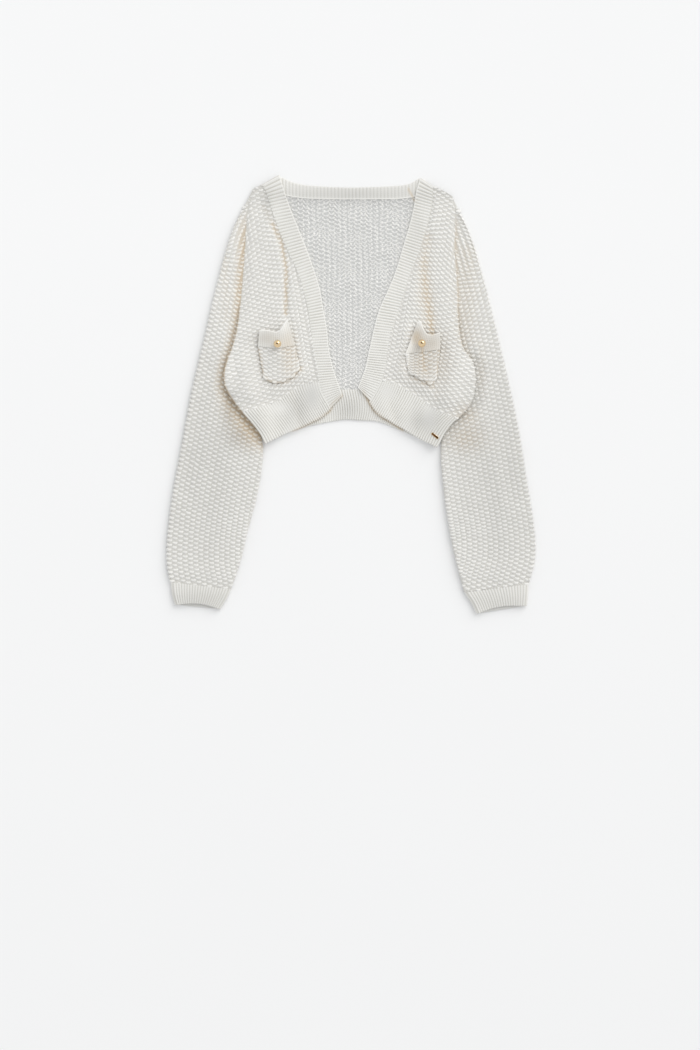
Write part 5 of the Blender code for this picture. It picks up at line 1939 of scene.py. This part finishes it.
class StageSettings(bpy.types.PropertyGroup):
    """Camera, light and floor."""

    aim: vector_property(
        "Aim", "Middle of the picture on the floor", (0.0, -0.2096, 0.0), "TRANSLATION"
    )
    frame_height: length_property("Frame height", "Height of the picture on the floor", 1.68)
    lens: bpy.props.FloatProperty(
        name="Lens", description="Focal length", default=85.0, unit="CAMERA"
    )
    light_place: vector_property("Light", "Place of the window", (1.2, 1.5, 1.45), "TRANSLATION")
    light_softness: bpy.props.FloatProperty(
        name="Softness",
        description="Angle across the soft window",
        default=0.9,
        subtype="ANGLE",
    )
    light_power: power_property("Light power", "Of the soft window", 1.25)
    light_colour: vector_property("Light colour", "Of the soft window", (1.0, 0.99, 0.97), "COLOR")
    sky: vector_property("Sky", "Light from all round", (0.98, 0.99, 1.0), "COLOR")
    # Painted reflections: ways to the dark patches that only glossy rays see in the sky
    gear_reflection_place: vector_property("Gear", "Way to the dark gear overhead", (0.1, 0.25, 1.0), "XYZ")
    arm_reflection_place: vector_property(
        "Arm", "Way to the arm that holds the gear", (-0.56, 0.18, 1.0), "XYZ"
    )
    sky_strength: power_property("Sky strength", "Light from all round", 0.77)
    floor_level: share_property("Floor", "Lightness of the floor", 0.94)


class CARDIGAN_OT_make_stage(bpy.types.Operator):
    """Makes the floor, the light and the camera"""

    bl_idname = "cardigan.make_stage"
    bl_label = "Make stage"
    bl_options = {"REGISTER", "UNDO"}

    def execute(self, context):
        make_stage(context.scene)
        return {"FINISHED"}


class CARDIGAN_OT_make_back(bpy.types.Operator):
    """Makes the back panel, its stitches, its hem and the neck trim"""

    bl_idname = "cardigan.make_back"
    bl_label = "Make back"
    bl_options = {"REGISTER", "UNDO"}

    def execute(self, context):
        make_back(context.scene)
        return {"FINISHED"}


class CARDIGAN_OT_make_fronts(bpy.types.Operator):
    """Makes the two fronts, their stitches, hems and bands"""

    bl_idname = "cardigan.make_fronts"
    bl_label = "Make fronts"
    bl_options = {"REGISTER", "UNDO"}

    def execute(self, context):
        for half in HALVES:
            make_front(context.scene, half)
        return {"FINISHED"}


class CARDIGAN_OT_make_sleeves(bpy.types.Operator):
    """Makes the two sleeves and their stitches"""

    bl_idname = "cardigan.make_sleeves"
    bl_label = "Make sleeves"
    bl_options = {"REGISTER", "UNDO"}

    def execute(self, context):
        for half in HALVES:
            make_sleeve(context.scene, half)
        return {"FINISHED"}


class CARDIGAN_OT_make_cuffs(bpy.types.Operator):
    """Makes the two ribbed cuffs"""

    bl_idname = "cardigan.make_cuffs"
    bl_label = "Make cuffs"
    bl_options = {"REGISTER", "UNDO"}

    def execute(self, context):
        for half in HALVES:
            make_cuff(context.scene, half)
        return {"FINISHED"}


class CARDIGAN_OT_make_pockets(bpy.types.Operator):
    """Makes the two patch pockets and their welts"""

    bl_idname = "cardigan.make_pockets"
    bl_label = "Make pockets"
    bl_options = {"REGISTER", "UNDO"}

    def execute(self, context):
        for half in HALVES:
            make_pocket(context.scene, half)
        return {"FINISHED"}


class CARDIGAN_OT_make_buttons(bpy.types.Operator):
    """Makes the two ball buttons and the bar on the hem"""

    bl_idname = "cardigan.make_buttons"
    bl_label = "Make buttons and bar"
    bl_options = {"REGISTER", "UNDO"}

    def execute(self, context):
        for half in HALVES:
            make_button(half)
        make_bar()
        return {"FINISHED"}


OPERATORS = (
    CARDIGAN_OT_make_stage,
    CARDIGAN_OT_make_back,
    CARDIGAN_OT_make_fronts,
    CARDIGAN_OT_make_sleeves,
    CARDIGAN_OT_make_cuffs,
    CARDIGAN_OT_make_pockets,
    CARDIGAN_OT_make_buttons,
)
SETTINGS = {
    "cardigan_knit": KnitSettings,
    "cardigan_rib": RibSettings,
    "cardigan_metal": MetalSettings,
    "cardigan_stage": StageSettings,
}


class CARDIGAN_PT_panel(bpy.types.Panel):
    """Lists the settings and the operators"""

    bl_idname = "CARDIGAN_PT_panel"
    bl_label = "Cardigan"
    bl_space_type = "VIEW_3D"
    bl_region_type = "UI"
    bl_category = "Cardigan"

    def draw(self, context):
        for operator in OPERATORS:
            self.layout.operator(operator.bl_idname)
        for name, group in SETTINGS.items():
            box = self.layout.box()
            for prop in group.__annotations__:
                box.prop(getattr(context.scene, name), prop)


def register():
    for group in (*SETTINGS.values(), *OPERATORS, CARDIGAN_PT_panel):
        bpy.utils.register_class(group)
    for name, group in SETTINGS.items():
        setattr(bpy.types.Scene, name, bpy.props.PointerProperty(type=group))


def unregister():
    for name in SETTINGS:
        delattr(bpy.types.Scene, name)
    for group in (CARDIGAN_PT_panel, *OPERATORS[::-1], *SETTINGS.values()):
        bpy.utils.unregister_class(group)


def main():
    register()
    bpy.ops.cardigan.make_stage()
    bpy.ops.cardigan.make_back()
    bpy.ops.cardigan.make_fronts()
    bpy.ops.cardigan.make_sleeves()
    bpy.ops.cardigan.make_cuffs()
    bpy.ops.cardigan.make_pockets()
    bpy.ops.cardigan.make_buttons()


if __name__ == "__main__":
    main()
